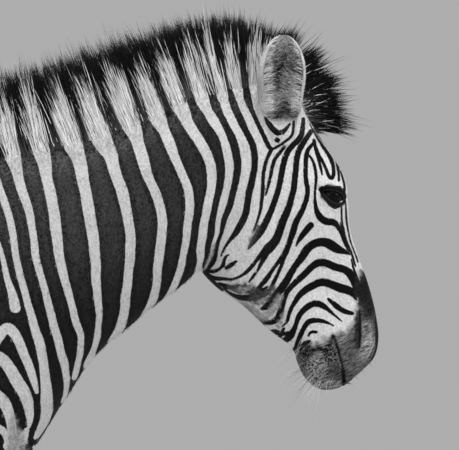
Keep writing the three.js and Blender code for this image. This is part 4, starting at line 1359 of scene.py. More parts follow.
coat = Paint("short striped coat")
mottle = coat.noise(26, 3, 0.55)
fine = coat.noise(520, 3, 0.6)
fibre = coat.noise(250, 2, 0.6, (1.0, 1.0, 0.28))
grain = coat.noise(270, 2, 0.75) - 0.5
streaks = (coat.noise(240, 2, 0.6, (1.0, 1.0, 0.12)) - 0.5) * coat.field("crest")
edge = coat.field("stripe") + (fine - 0.5) * 3.0 + (fibre - 0.5) * 2.4
black_share = edge.step(-0.8, 0.8)
uneven = 1.0 + (mottle - 0.5) * 0.22 + (fibre - 0.5) * 0.6 + grain * 1.0 + streaks * 1.6
white = coat.field("chalk") * uneven
# Black stripes are painted a shade lighter along their middles: a painted sheen on the black hair.
sheen_on_black = coat.field("stripe").step(3.0, 14.0) * (0.3 + mottle)
black = coat.field("ink") * (0.62 + sheen_on_black * 0.6 + (fibre - 0.5) * 2.0 + grain * 3.4 + streaks * 4.0)
flecks = coat.noise(330, 2, 0.7)
blotches = coat.noise(95, 3, 0.7)
# The mottled grey of dust and wear, and of painted shade under the jaw and throat.
wear = coat.field("worn") * (0.55 + 0.45 * blotches.step(0.35, 0.6))
worn_tone = coat.field("worn_tone") * (1.0 + (flecks - 0.5) * 2.2)
chin = coat.field("speckle") * (flecks - 0.53) * 1.5
turned = coat.node("Mapping", (), {"Vector": coat.place(), "Rotation": (0.0, math.radians(24), 0.0)})
wrinkle = coat.noise(400, 1, 0.5, (0.2, 0.5, 1.0), turned)
# The bare muzzle is painted darker in the grooves of its wrinkles and lighter on their ridges, painted shade
# and light, with grain.
wrinkle_shade_and_grain = 1.0 + coat.field("fold") * ((wrinkle - 0.5) * 3.6) + grain * 1.6
nose = (coat.field("tone") * wrinkle_shade_and_grain + chin).math("MAXIMUM", 0.004)
hair_tone = white + black_share * (black - white)
hair_tone = hair_tone + wear * (worn_tone - hair_tone)
tone_wire = hair_tone + coat.field("muzzle") * (nose - hair_tone)
tone_wire = (tone_wire + coat.field("lid") * (0.008 - tone_wire)).math("MAXIMUM", 0.002)
pores = coat.bump(fine, 0.0006, 0.35)
lie = coat.bump(fibre + grain, 0.0016, 0.8, pores)
folds = coat.bump(wrinkle * coat.field("fold"), 0.003, 1.0, lie)
coat.set(Base_Color=coat.grey(tone_wire), Roughness=0.78, Specular_IOR_Level=0.12, Normal=folds)
skin.data.materials.clear()
skin.data.materials.append(coat.material)

put_vertices(skin.data, to_frame(vertices_of(skin.data)))
skin.data.shade_smooth()
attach(skin, "root")
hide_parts("trunk", "neck", "head", "tail", "ear_right", "ear_left")
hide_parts("fore_leg_right", "fore_leg_left", "hind_leg_right", "hind_leg_left")

# ---- The eyes ----
# Glass eyes, dark brown with a wide level pupil, set in the clay under the lids before the hide goes on.
# The lids' bare edges are a moulded bead of black skin, with lashes set in the upper one.


def finished(obj, paint, slot, *nodes):
    """Puts a piece made on the drawing into the frame, on the body, in place of its plain solids."""
    outward(obj)
    obj.data.shade_smooth()
    obj.data.materials.append(paint.material)
    put_vertices(obj.data, to_frame(vertices_of(obj.data)))
    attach(obj, "root")
    if nodes:
        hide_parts(*nodes)


def tube(path, radius, around=8, closed=False):
    """A round bead along a path, its radius given for each point."""
    path = np.asarray(path, float)
    radius = np.broadcast_to(radius, len(path))
    ahead = np.roll(path, -1, 0) - np.roll(path, 1, 0)
    if not closed:
        ahead[0], ahead[-1] = path[1] - path[0], path[-1] - path[-2]
    ahead /= np.linalg.norm(ahead, axis=1)[:, None]
    side = np.cross(ahead, [0.1, 0.2, 0.97])
    side /= np.linalg.norm(side, axis=1)[:, None]
    up = np.cross(side, ahead)
    angle = 2 * np.pi * np.arange(around) / around
    points = path[:, None] + radius[:, None, None] * (
        np.cos(angle)[None, :, None] * side[:, None] + np.sin(angle)[None, :, None] * up[:, None]
    )
    return points.reshape(-1, 3), ring_faces(len(path), around, closed)


def on_eye(side, along, rise, radius):
    """The point over the eye's middle at places along and up the lids."""
    out = np.sqrt(np.clip(EYE_RADIUS**2 - along**2 - rise**2, 1, None))
    way = out[:, None] * EYE_OUT + along[:, None] * EYE_ALONG + rise[:, None] * EYE_RISE
    point = EYE + way / np.linalg.norm(way, axis=1)[:, None] * np.asarray(radius).reshape(-1, 1)
    return point * [1, side, 1]


glass = Paint("dark glass eye")
pupil = glass.field("pupil")
streaks = glass.noise(900, 2, 0.6)
iris = 0.004 + (streaks - 0.5) * 0.004
glass.set(
    Base_Color=glass.grey(iris + pupil * (0.002 - iris)),
    Roughness=0.2,
    Coat_Weight=0.0,
    Specular_IOR_Level=0.1,
)

wet = Paint("black lid edge")
wet.set(
    Base_Color=wet.grey(0.010 + wet.noise(700, 2) * 0.02),
    Roughness=0.5,
    Specular_IOR_Level=0.2,
    Normal=wet.bump(wet.noise(900, 2), 0.0004, 0.4),
)

# A pale finish for the bead that stands for the glint on the wet eye: a painted highlight.
glint_paint = Paint("pale corner of the eye")
glint_paint.set(Base_Color=glint_paint.grey(0.5 + glint_paint.noise(900, 2) * 0.1), Roughness=0.35)

SIDES = ((-1, "right"), (1, "left"))
LID_BEAD = 1.5
for side, word in SIDES:
    turns, rings = ((48, 32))
    eye_points, pupil_share = [], []
    for i in range(rings + 1):
        polar = math.pi * i / rings
        radius = EYE_RADIUS - 0.9 + 1.5 * math.exp(-((polar / 0.55) ** 2))
        for j in range(turns):
            turn = 2 * math.pi * j / turns
            a, r = math.sin(polar) * math.cos(turn), math.sin(polar) * math.sin(turn)
            way = math.cos(polar) * EYE_OUT + a * EYE_ALONG + r * EYE_RISE
            eye_points.append((EYE + radius * way) * [1, side, 1])
            pupil_share.append(float(smooth_step(np.hypot(a / 0.33, r / 0.2), 1.15, 0.85)))
    eye_faces = [
        (i * turns + j, i * turns + (j + 1) % turns, (i + 1) * turns + (j + 1) % turns, (i + 1) * turns + j)
        for i in range(rings)
        for j in range(turns)
    ]
    eye = make_object("eyeball_" + word, eye_points, eye_faces)
    floats(eye.data, "pupil", pupil_share)
    finished(eye, glass, "eyeball", "eye_" + word)

    turn = np.linspace(0, 2 * np.pi, 64, endpoint=False)
    along = SLIT_HALF * 0.97 * np.cos(turn)
    top, bottom = slit_edges(along)
    rise = np.where(np.sin(turn) >= 0, top, bottom) * np.minimum(1, np.abs(np.sin(turn)) * 6)
    rim_path = on_eye(side, along, rise, EYE_RADIUS + 1.6)
    bead = LID_BEAD + 0.4 * (np.sin(turn) > 0)
    finished(make_object("lid_rim_" + word, *tube(rim_path, bead, closed=True)), wet, "coat")
    # A pale bead along the lower front corner of the slit: a painted glint on the wet eye.
    along = np.linspace(0.5, 0.86, 9) * SLIT_HALF
    _, bottom = slit_edges(along)
    bead = np.sin(np.linspace(0.3, math.pi - 0.3, 9)) * 1.3
    glint_path = on_eye(side, along, bottom + 2.4, EYE_RADIUS + 1.4)
    finished(make_object("lid_corner_" + word, *tube(glint_path, bead)), glint_paint, "coat")

# ---- The hooves ----
# Cast horn shoes over the leg irons: a dark ringed wall that flares to the ground, flat below, under the
# raised band where the hide ends.

FORE_HOOF = [
    [387, 66, 297, 42, 114, 40, 0, 2.2],
    [401, 36, 294, 22, 114, 46, 0, 2.3],
    [412, 0, 296, 0, 114, 51, 0.05, 2.4],
]
HIND_HOOF = [
    [-603, 68, -693, 44, 116, 39, 0, 2.2],
    [-590, 36, -694, 22, 116, 43, 0.02, 2.2],
    [-578, 0, -690, 0, 116, 47, 0.05, 2.2],
]
HOOF_RINGS = 9.0
HOOF_STEPS = 14

horn = Paint("hoof horn")
tubules = horn.noise(420, 3, 0.6, (1.0, 1.0, 0.12))
rings = horn.noise(60, 2, 0.5, (0.25, 0.25, 2.6))
worn = horn.field("wear")
horn_tone = 0.045 + (tubules - 0.5) * 0.05 + (rings - 0.5) * 0.05 + worn * 0.10
horn.set(
    Base_Color=horn.grey(horn_tone),
    Roughness=0.42 + (rings - 0.5) * 0.2 + worn * 0.25,
    Normal=horn.bump(rings, 0.003, 0.5, horn.bump(tubules, 0.0008, 0.5)),
)

for rows, kind, left_lead in ((FORE_HOOF, "fore", FORE_LEG_LEAD), (HIND_HOOF, "hind", HIND_LEG_LEAD)):
    for side, word in SIDES:
        s = strung(placed(rows, side, left_lead if side > 0 else 0.0), HOOF_STEPS)
        ring = np.arange(len(s))
        # Growth rings, and the softer band at the coronet.
        swell = 0.5 * np.sin(ring / HOOF_STEPS * HOOF_RINGS * 2) * np.minimum(1, (len(s) - 1 - ring) / 4)
        swell += 2.0 * np.exp(-(((ring - 2) / 2.0) ** 2)) - 1.6 * (ring == 0)
        swell -= 1.4 * (ring == len(s) - 1)
        arm = (s[:, 0:2] - s[:, 2:4]) / 2
        arm /= np.linalg.norm(arm, axis=1)[:, None]
        s[:, 0] += swell * arm[:, 0]
        s[:, 2] -= swell * arm[:, 0]
        s[:, 5] += swell
        s[-1, [1, 3]] = 0
        s[-2, [1, 3]] = np.maximum(s[-2, [1, 3]], 0.6)
        points, faces = oval_mesh(s, 48, 1)
        # The heel is parted by a shallow cleft.
        heel = points[:, 0] < (s[:, 2].min() + 26)
        cleft = np.exp(-(((points[heel, 1] - side * rows[0][4]) / 9) ** 2))
        points[heel, 0] += 9 * cleft * (points[heel, 2] < 50)
        hoof = make_object(kind + "_hoof_wall_" + word, points, faces)
        height = vertices_of(hoof.data)[:, 2]
        floats(hoof.data, "wear", smooth_step(height, 9, 1) + 0.5 * smooth_step(height, 46, 60))
        finished(hoof, horn, "hoof_horn", kind + "_hoof_" + word)

# ---- The mane ----
# Stiff upright hair in a narrow band along the crest, set strand by strand: it carries the stripes of the
# neck up to its black tips, leans back over the neck, and fans forward as a forelock between the ears.

# The outline of the mane's tips as seen from the side, from the withers on, and what closes it below.
TIP_LINE = [
    (150, 1346), (172, 1352), (240, 1398), (320, 1466), (400, 1515), (505, 1541), (625, 1586), (730, 1616),
    (810, 1628), (850, 1624), (900, 1610), (945, 1594), (975, 1580), (997, 1561), (1022, 1538),
    (1040, 1512), (1060, 1474), (1070, 1430), (1064, 1388), (1030, 1398), (1008, 1408), (986, 1420)
]
CLOSED_BELOW = [(960, 1300), (180, 1230)]
# How the hair leans, in degrees forward of upright, by where its root is along the drawing.
LEAN = [
    (180, -40), (260, -30), (340, -17), (400, -9), (460, -12), (540, -17), (600, -20), (730, -19),
    (800, -14), (850, -6), (885, 7), (905, 20), (925, 34), (945, 50), (960, 66), (975, 86), (988, 108)
]


def skin_triangles():
    """Corners, area, outward normal and map place of the skin's triangles, on the drawing."""
    mesh = skin.data
    mesh.calc_loop_triangles()
    count = len(mesh.loop_triangles)
    index = np.empty(count * 3, int)
    mesh.loop_triangles.foreach_get("vertices", index)
    loops = np.empty(count * 3, int)
    mesh.loop_triangles.foreach_get("loops", loops)
    uv = np.empty(len(mesh.loops) * 2)
    mesh.uv_layers["SkinMap"].data.foreach_get("uv", uv)
    corners = (vertices_of(mesh)[index] * 1000 + ORIGIN).reshape(-1, 3, 3)
    cross = np.cross(corners[:, 1] - corners[:, 0], corners[:, 2] - corners[:, 0])
    area = np.linalg.norm(cross, axis=1)
    places = uv.reshape(-1, 2)[loops].reshape(-1, 3, 2)
    return corners, area / 2, cross / np.maximum(area, 1e-9)[:, None], places


bpy.context.view_layer.objects.active = skin
skin.select_set(True)
skin.data.uv_layers.new(name="SkinMap")
bpy.ops.object.mode_set(mode="EDIT")
bpy.ops.mesh.select_all(action="SELECT")
bpy.ops.uv.smart_project(angle_limit=math.radians(66), island_margin=0.002)
bpy.ops.object.mode_set(mode="OBJECT")
skin.select_set(False)
TRI_CORNERS, TRI_AREA, TRI_NORMAL, TRI_MAP = skin_triangles()
TRI_MIDDLE = TRI_CORNERS.mean(1)


def roots(count, weight, rng):
    """Random places on the skin, as many to an area as the weight says: points, normals and map places."""
    chance = TRI_AREA * weight
    pick = rng.choice(len(TRI_AREA), size=count, p=chance / chance.sum())
    a, b = rng.random((2, count))
    flip = a + b > 1
    a[flip], b[flip] = 1 - a[flip], 1 - b[flip]
    share = np.stack([1 - a - b, a, b], 1)[:, :, None]
    return (TRI_CORNERS[pick] * share).sum(1), TRI_NORMAL[pick], (TRI_MAP[pick] * share).sum(1)


# How late a hair narrows to its point, how thick it is for its width, and how much of the skin's unwrap
# a hair or a tuft takes up.
TAPER = 2.4
RIDGE = 0.7
PATCH = 0.003


def hairs(name, paths, half_width, facing, places, fields):
    """One mesh of three-sided strands: their paths, half widths, the way they face and their map places."""
    count, levels = paths.shape[:2]
    ahead = np.gradient(paths, axis=1)
    ahead /= np.linalg.norm(ahead, axis=2)[:, :, None] + 1e-9
    side = np.cross(ahead, facing[:, None, :])
    side /= np.linalg.norm(side, axis=2)[:, :, None] + 1e-9
    out = np.cross(side, ahead)
    t = np.linspace(0, 1, levels)
    wide = np.asarray(half_width).reshape(-1, 1, 1) * (1 - t[None, :, None] ** TAPER)
    left, right, ridge = paths - side * wide, paths + side * wide, paths + out * wide * RIDGE
    rings = np.stack([left, right, ridge], 2)[:, :-1].reshape(count, -1, 3)
    points = np.concatenate([rings, paths[:, -1:]], 1)
    per = points.shape[1]
    faces = []
    for first in range(0, 3 * (levels - 2), 3):
        for i in range(3):
            p, q = first + i, first + (i + 1) % 3
            faces += [(p, q, q + 3), (p, q + 3, p + 3)]
    last = 3 * (levels - 2)
    faces += [(last + i, last + (i + 1) % 3, per - 1) for i in range(3)]
    index = (np.array(faces)[None] + np.arange(count)[:, None, None] * per).reshape(-1, 3)
    mesh = bpy.data.meshes.new(name)
    mesh.vertices.add(count * per)
    mesh.loops.add(index.size)
    mesh.polygons.add(len(index))
    mesh.polygons.foreach_set("loop_start", np.arange(0, index.size, 3))
    mesh.polygons.foreach_set("loop_total", np.full(len(index), 3))
    mesh.loops.foreach_set("vertex_index", index.ravel())
    mesh.vertices.foreach_set("co", to_frame(points.reshape(-1, 3)).ravel())
    mesh.update(calc_edges=True)
    mesh.validate()
    # Every strand is a patch of the skin's own unwrap, at its root.
    level = np.append(np.repeat(np.arange(levels - 1), 3), levels - 1) / (levels - 1)
    aside = np.append(np.tile([0, 1, 0.5], levels - 1), 0.5)
    patch = (np.stack([aside, level], 1) - 0.5) * PATCH
    spots = (places[:, None] + patch[None]).reshape(-1, 2)
    layer = mesh.uv_layers.new(name="OFBake")
    layer.data.foreach_set("uv", np.clip(spots[index.ravel()], 0, 1).ravel())
    for key, values in fields.items():
        floats(mesh, key, np.repeat(values, per) if len(values) == count else values)
    floats(mesh, "along", np.tile(level, count))
    obj = linked(name, mesh)
    mesh.shade_smooth()
    mesh.materials.append(long_hair.material)
    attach(obj, "root")
    return obj


long_hair = Paint("mane hair")
along = long_hair.field("along")
shade = long_hair.field("shade")
tip_black = (along + shade * 0.10).math("SUBTRACT", long_hair.field("tip_start")).step(-0.06, 0.06)
root_black = (long_hair.field("stripe") + shade * 2.5).step(-2.0, 2.0)
dark = root_black.math("MAXIMUM", tip_black)
streak = long_hair.noise(300, 2, 0.6, (1.0, 1.0, 0.15))
pale_tone = (0.80 + along * 0.4).math("MINIMUM", 0.9) + shade * 0.12 + (streak - 0.5) * 0.2
dark_tone = (0.075 - along * 0.16).math("MAXIMUM", 0.006) * (1.0 + shade * 0.6)
long_hair.set(
    Base_Color=long_hair.grey(pale_tone + dark * (dark_tone - pale_tone)),
    Roughness=0.55,
    Specular_IOR_Level=0.14,
)


def gathered(path, locks, pull):
    """Strands drawn together towards the middle of their lock's tips."""
    _, lock = np.unique(locks, return_inverse=True)
    tips, start = path[:, -1], path[:, 0]
    reach = np.linalg.norm(tips - start, axis=1)
    longest = np.zeros(lock.max() + 1)
    np.maximum.at(longest, lock, reach)
    # Each lock is a cone about its longer strands, and the shorter ones end on its axis.
    weight = (reach / longest[lock]) ** 6
    total, count = np.bincount(lock, weight), np.bincount(lock)
    point = np.stack([np.bincount(lock, tips[:, c] * weight) / total for c in range(3)], 1)
    base = np.stack([np.bincount(lock, start[:, c]) / count for c in range(3)], 1)
    share = (reach / longest[lock])[:, None]
    goal = base[lock] + (point - base)[lock] * share
    t = np.linspace(0, 1, path.shape[1])[None, :, None]
    return path + (goal - tips)[:, None] * np.asarray(pull).reshape(-1, 1, 1) * t**1.6


# Where along the hair its black tip starts, by where its root is.
TIP_STARTS = [
    (180, 0.6), (400, 0.80), (494, 0.78), (589, 0.68), (684, 0.66), (778, 0.68), (873, 0.62), (915, 0.35),
    (950, 0.08)
]
# How its tip bends forward, and half the breadth of the band it grows in, by the same.
DROOP = [(180, -10), (400, -8), (800, -3), (900, 6), (985, 10)]
BAND = [(175, 40), (300, 70), (800, 66), (860, 44), (905, 30), (990, 24)]
MANE_WIDTH = 0.95


def mane_strands(name, count, weight, seed, levels):
    rng = np.random.default_rng(seed)
    start, normal, places = roots(count, weight, rng)
    stripe = stripe_field(start) + rng.normal(size=count) * 1.6
    # Hair gathers in small locks that share a lean and a length.
    spot = start + 5 * np.stack([ripple(start, 30, 22), ripple(start, 30, 23), ripple(start, 30, 24)], 1)
    front = smooth_step(start[:, 0], 850, 930)
    lock = np.floor(spot[:, 0] / 7) + 1000 * np.floor(spot[:, 1] / 13) + 50000 * np.floor(spot[:, 2] / 40)
    sway = np.sin(lock * 12.9898) * 43758.5453
    sway = (sway - np.floor(sway)) - 0.5
    loose = 4.0 + 7.0 * front
    lean = np.radians(read(LEAN, start[:, 0]) + sway * 2.2 * loose + rng.normal(size=count) * loose)
    way = np.stack([np.sin(lean), np.zeros(count), np.cos(lean)], 1)
    outline = TIP_LINE + CLOSED_BELOW
    far = np.full(count, 30.0)
    for t in np.arange(30, 330, 6.0):
        still = is_inside(start[:, [0, 2]] + way[:, [0, 2]] * t, outline) & (far >= t - 6.1)
        far[still] = t
    stray = rng.random(count) < 0.035
    uneven = (0.24 + 0.18 * front) * rng.random(count) ** 2
    length = far * (0.87 - 0.13 * front + uneven + 0.08 * stray + (0.17 + 0.34 * front) * sway)
    # The lowest hairs are short and lie close, so that the mane grows out of the coat.
    above = above_roots(start)
    low = smooth_step(above, 26, 0) * (1 - front)
    length = np.maximum(length * (1 - low * rng.uniform(0.15, 0.85, count)), 18)
    # The band narrows upwards: strands from the sides of the crest come in over it.
    y0 = start[:, 1]
    drawn_in = -y0 * np.clip(1 - 13 / (np.abs(y0) + 1), 0, 1) + rng.normal(size=count) * 5
    drawn_in *= np.clip(length / 90, 0.15, 1)
    t = np.linspace(0, 1, levels)
    path = start[:, None] - normal[:, None] * 2 + way[:, None] * (length[:, None, None] * t[None, :, None])
    path += (rng.normal(size=(count, 3)) * 2.5)[:, None] * (np.sin(t * 3.0) * t)[None, :, None]
    bulge = np.sign(y0) * (5 * smooth_step(above, 4, 60) + 1)
    path[:, :, 1] += drawn_in[:, None] * t**0.8 + bulge[:, None] * np.sin(np.pi * np.clip(t * 1.6, 0, 1))
    droop = read(DROOP, start[:, 0]) + rng.normal(size=count) * 5
    path[:, :, 0] += droop[:, None] * t**2
    path[:, :, 2] -= (0.3 * np.abs(droop))[:, None] * t**2
    path = gathered(path, lock, rng.uniform(0.6, 1.0, count) * (1 - low) * ~stray)
    facing = normal + rng.normal(size=(count, 3)) * 0.4
    tip = read(TIP_STARTS, start[:, 0]) - 0.22 * smooth_step(stripe, -9, 0) + 0.08 * ripple(start, 40, 21)
    tip = tip + 0.22 * sway + rng.normal(size=count) * 0.06
    # A few white strands run through the black ones.
    odd = rng.random(count) < 0.03 + 0.08 * front
    stripe = np.where(odd, -6, stripe)
    tip = np.where(odd, rng.uniform(0.5, 0.8, count), tip)
    fields = {"stripe": stripe, "shade": rng.uniform(-1, 1, count), "tip_start": tip}
    obj = hairs(name, path, MANE_WIDTH * rng.uniform(0.6, 1.25, count), facing, places, fields)
    return obj


x, y, z = TRI_MIDDLE.T
crest = (above_roots(TRI_MIDDLE) > -14) & (np.abs(y) < read(BAND, x)) & (x > 172) & (x < 992) & (z > 1290)
# The share of the hairs and tufts that is grown.
THIN = 1.0
for name, low, high, count, levels, seed in (
    ("mane_back", 172, 520, 9300, 5, 31),
    ("mane_middle", 520, 760, 9300, 5, 32),
    ("mane_front", 760, 915, 9000, 5, 33),
    ("forelock", 915, 995, 5600, 6, 34),
):
    above = above_roots(TRI_MIDDLE) + 13 * ripple(TRI_MIDDLE, 17, 61)
    grown = np.clip(smooth_step(above, -2, 36) + smooth_step(x, 890, 930), 0, 1)
    grown *= 1 + 3.0 * np.exp(-(((x - 912) / 20) ** 2))
    zone = crest & (x >= low) & (x < high)
    piece = mane_strands(name, int(count * THIN), zone * grown, seed, levels)
    if name == "mane_middle":
        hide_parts("mane")

# ---- The tail ----
# A dock in the hide, with a fringe on its sides and a long tuft of coarse hair from its lower half.

TUFT_END = 372
# Half the tuft's width and where its middle is along the drawing, by height.
TUFT_WIDTH = [(TUFT_END, 5), (420, 15), (500, 26), (600, 29), (700, 24), (779, 17), (900, 20)]
TUFT_MIDDLE = [(TUFT_END, -886), (500, -884), (700, -881), (900, -879)]
rng = np.random.default_rng(61)
count = int(4200 * THIN)
dock = (x < -845) & (x > -915) & (np.abs(y) < 40) & (z < 905) & (z > 700)
start, normal, places = roots(count, dock * (1 + 3 * smooth_step(z, 860, 790)), rng)
t = np.linspace(0, 1, 7)
length = (start[:, 2] - TUFT_END) * rng.uniform(0.55, 1.0, count) ** 0.6
height = start[:, 2:3] - length[:, None] * t
turn = np.arctan2(start[:, 1], start[:, 0] + 881) + rng.normal(size=count) * 0.35
reach = rng.uniform(0.25, 1.0, count)[:, None]
widest = read(TUFT_WIDTH, height)
away = np.stack([np.cos(turn)[:, None] * widest * reach, np.sin(turn)[:, None] * widest * reach], 2)
path = np.concatenate([away, height[:, :, None]], 2)
path[:, :, 0] += read(TUFT_MIDDLE, height)
path += rng.normal(size=(count, 1, 3)) * 3.0 * np.sin(t * 5)[None, :, None]
path[:, 0] = start - normal
tint = np.where(start[:, 2] > 850, -3 + 6 * rng.random(count), 8.0)
fields = {"stripe": tint, "shade": rng.uniform(-1, 1, count), "tip_start": np.full(count, 0.3)}
tuft = hairs("tail_hair", path, 1.5 * rng.uniform(0.6, 1.2, count), normal, places, fields)
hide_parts("tail_tuft")

# ---- Ear hair, lashes and whiskers ----
# Pale hair stands in from both rims of each ear over the dark hollow. Lashes are set in the upper lids,
# and single stiff whiskers in the chin and the lips.


def strands(name, start, normal, places, way, length, bend, levels, width, seed, stripe):
    """Single hairs from given roots: the way each sets out, its length and how its tip bends away."""
    rng = np.random.default_rng(seed)
    way = way / np.linalg.norm(way, axis=1)[:, None]
    t = np.linspace(0, 1, levels)[None, :, None]
    path = start[:, None] - normal[:, None] * 1.0 + way[:, None] * (length[:, None, None] * t)
    path += bend[:, None] * (length[:, None, None] * t**2)
    count = len(start)
    shade = rng.uniform(-1, 1, count) * 0.3
    fields = {"shade": shade, "tip_start": np.full(count, 3.0), "stripe": stripe}
    hairs(name, path, width * rng.uniform(0.7, 1.2, count), normal, places, fields)


# How dark the ear's hair is for the lightness of the hide inside the ear, so that the hair carries the
# painted shade too.
EAR_TINT = [(0.04, 2.2), (0.2, 0.7), (0.4, -0.7), (0.6, -1.8), (0.85, -3.0)]
LASHES = 52
WHISKERS = 150
rng = np.random.default_rng(71)
on, up, ear_x, _, cup = ear_place(TRI_MIDDLE)
hollow = on * cup * (up > 0.12) * (up < 0.97) * (0.4 + 0.6 * (np.abs(ear_x) > 0.25))
count = int(5200 * THIN)
start, normal, places = roots(count, hollow, rng)
_, up, ear_x, _, _ = ear_place(start)
flank = np.sign(start[:, 1])
swirl = rng.normal(size=(count, 3)) * 0.16
way = np.stack([-0.9 * np.tanh(3 * ear_x), flank * 0.30, 0.25 + 0.5 * (up - 0.4)], 1) + normal * 0.25 + swirl
bend = np.stack([np.zeros(count), flank * 0.05, 0.25 - 0.5 * rng.random(count)], 1)
length = (8 + 15 * np.clip(np.sin(np.pi * np.clip(up, 0, 1)), 0, 1)) * rng.uniform(0.6, 1.15, count)
clump = 1.2 * ripple(start, 9, 75) + rng.normal(size=count) * 0.7
tint = read(EAR_TINT, ear_tone_and_shade(start)) + clump
strands("ear_hair", start, normal, places, way, length, bend, 5, 0.75, 72, tint)

starts, normals, ways, spots = [], [], [], []
for side, _ in SIDES:
    eye = EYE * [1, side, 1]
    along = np.linspace(-0.92, 0.92, LASHES) * SLIT_HALF
    top, _ = slit_edges(along)
    edge = on_eye(side, along, top + 1.2, EYE_RADIUS + 3.0)
    out = (edge - eye) / np.linalg.norm(edge - eye, axis=1)[:, None]
    starts.append(edge)
    normals.append(out)
    fan = (along / SLIT_HALF)[:, None] * EYE_ALONG * [1, side, 1]
    ways.append(out * 0.9 + fan * 0.5 + [0.0, 0.0, -0.55] + rng.normal(size=(LASHES, 3)) * 0.12)
    nearest = ((TRI_MIDDLE - eye) ** 2).sum(1).argmin()
    spots.append(TRI_MAP[nearest].mean(0)[None].repeat(LASHES, 0))
start, normal, way, places = map(np.vstack, (starts, normals, ways, spots))
count = len(start)
bend = np.tile([0.0, 0.0, 0.10], (count, 1))
length = rng.uniform(6, 11, count)
strands("lashes", start, normal, places, way, length, bend, 5, 0.4, 73, np.full(count, 8.0))

from_side = TRI_MIDDLE * [1, 0, 1]
beard = smooth_step(np.linalg.norm(from_side - [975, 0, 958], axis=1), 62, 20) * (TRI_NORMAL[:, 2] < -0.35)
lips = smooth_step(np.linalg.norm(from_side - [1078, 0, 965], axis=1), 48, 20)
start, normal, places = roots(WHISKERS, beard + 0.25 * lips, rng)
on_chin = start[:, 0] < 1030
length = np.where(on_chin, rng.uniform(22, 62, WHISKERS), rng.uniform(6, 16, WHISKERS))
way = normal + np.where(on_chin, -0.35, 0.1)[:, None] * [1, 0, 0] + [0, 0, -0.35]
way = way + rng.normal(size=(WHISKERS, 3)) * 0.15
bend = np.tile([0.0, 0.0, -0.18], (WHISKERS, 1))
tint = np.where(on_chin & (rng.random(WHISKERS) < 0.75), -8.0, 8.0)
strands("whiskers", start, normal, places, way, length, bend, 6, 0.22, 74, tint)

# ---- The short coat ----
# Short hair lies close all over, down the face and the legs and back along the body. It shows as tufts
# where it breaks the form: on the crest, jaw, throat, breast, belly and buttocks, and behind each fetlock.

TUFT_HAIRS = [
    (0.00, 0.00, 1.00, 0.02), (-0.22, 0.10, 0.86, -0.12), (0.20, 0.16, 0.92, 0.10),
    (0.06, -0.20, 0.78, 0.20), (-0.10, -0.12, 0.84, -0.22)
]


def tuft_mesh():
    """A tuft a unit long, lying along Z with X away from the skin: five tapered three-sided hairs."""
    points, faces = [], []
    for aside, back, length, sway in TUFT_HAIRS:
        levels = [(0.0, -0.04, 0.030), (0.55, 0.03, 0.022)] if aside == 0 else [(0.0, -0.04, 0.026)]
        first = len(points)
        for up, lift, half in levels:
            middle = aside + sway * up * length
            for dx, dy in ((-0.4, -1), (-0.4, 1), (1, 0)):
                points.append((lift + half * 0.4 * dx, middle + half * dy, back * 0.5 + up * length))
        points.append((0.13 + 0.05 * abs(sway), aside + sway * length, back * 0.5 + length))
        rings = len(levels)
        for r in range(rings - 1):
            for i in range(3):
                a, b = first + 3 * r + i, first + 3 * r + (i + 1) % 3
                faces += [(a, b, b + 3), (a, b + 3, a + 3)]
        last = first + 3 * (rings - 1)
        faces += [(last + i, last + (i + 1) % 3, len(points) - 1) for i in range(3)]
    mesh = bpy.data.meshes.new("tuft")
    mesh.from_pydata(points, [], faces)
    layer = mesh.attributes.new("patch", "FLOAT_VECTOR", "POINT")
    spread = [(p[1] * 1.6, p[2] - 0.5, 0.0) for p in points]
    layer.data.foreach_set("vector", np.array(spread, np.float32).ravel())
    tuft = linked("tuft", mesh)
    outward(tuft)
    return tuft


class Growth(Nodes):
    """A geometry tree under construction, with named inputs."""

    def __init__(self, name, **inputs):
        self.tree = bpy.data.node_groups.new(name, "GeometryNodeTree")
        self.tree.is_modifier = True
        sockets = self.tree.interface
        sockets.new_socket("Geometry", in_out="INPUT", socket_type="NodeSocketGeometry")
        sockets.new_socket("Geometry", in_out="OUTPUT", socket_type="NodeSocketGeometry")
        for key, kind in inputs.items():
            sockets.new_socket(key.replace("_", " "), in_out="INPUT", socket_type="NodeSocket" + kind)
        self.given = self.tree.nodes.new("NodeGroupInput")
        self.result = self.tree.nodes.new("NodeGroupOutput")

    def named(self, name):
        return Wire(self, self.given.outputs[name])

    def carried(self, name, kind):
        return self.node("GeometryNodeInputNamedAttribute", {"data_type": kind}, {"Name": name})

    def grown(self, host, **values):
        """The host's geometry put through the tree, as a plain mesh."""
        modifier = host.modifiers.new("growth", "NODES")
        modifier.node_group = self.tree
        for item in self.tree.interface.items_tree:
            key = item.name.replace(" ", "_")
            if item.in_out == "INPUT" and key in values:
                modifier[item.identifier] = values[key]
        graph = bpy.context.evaluated_depsgraph_get()
        mesh = bpy.data.meshes.new_from_object(host.evaluated_get(graph), depsgraph=graph)
        host.modifiers.remove(modifier)
        return mesh


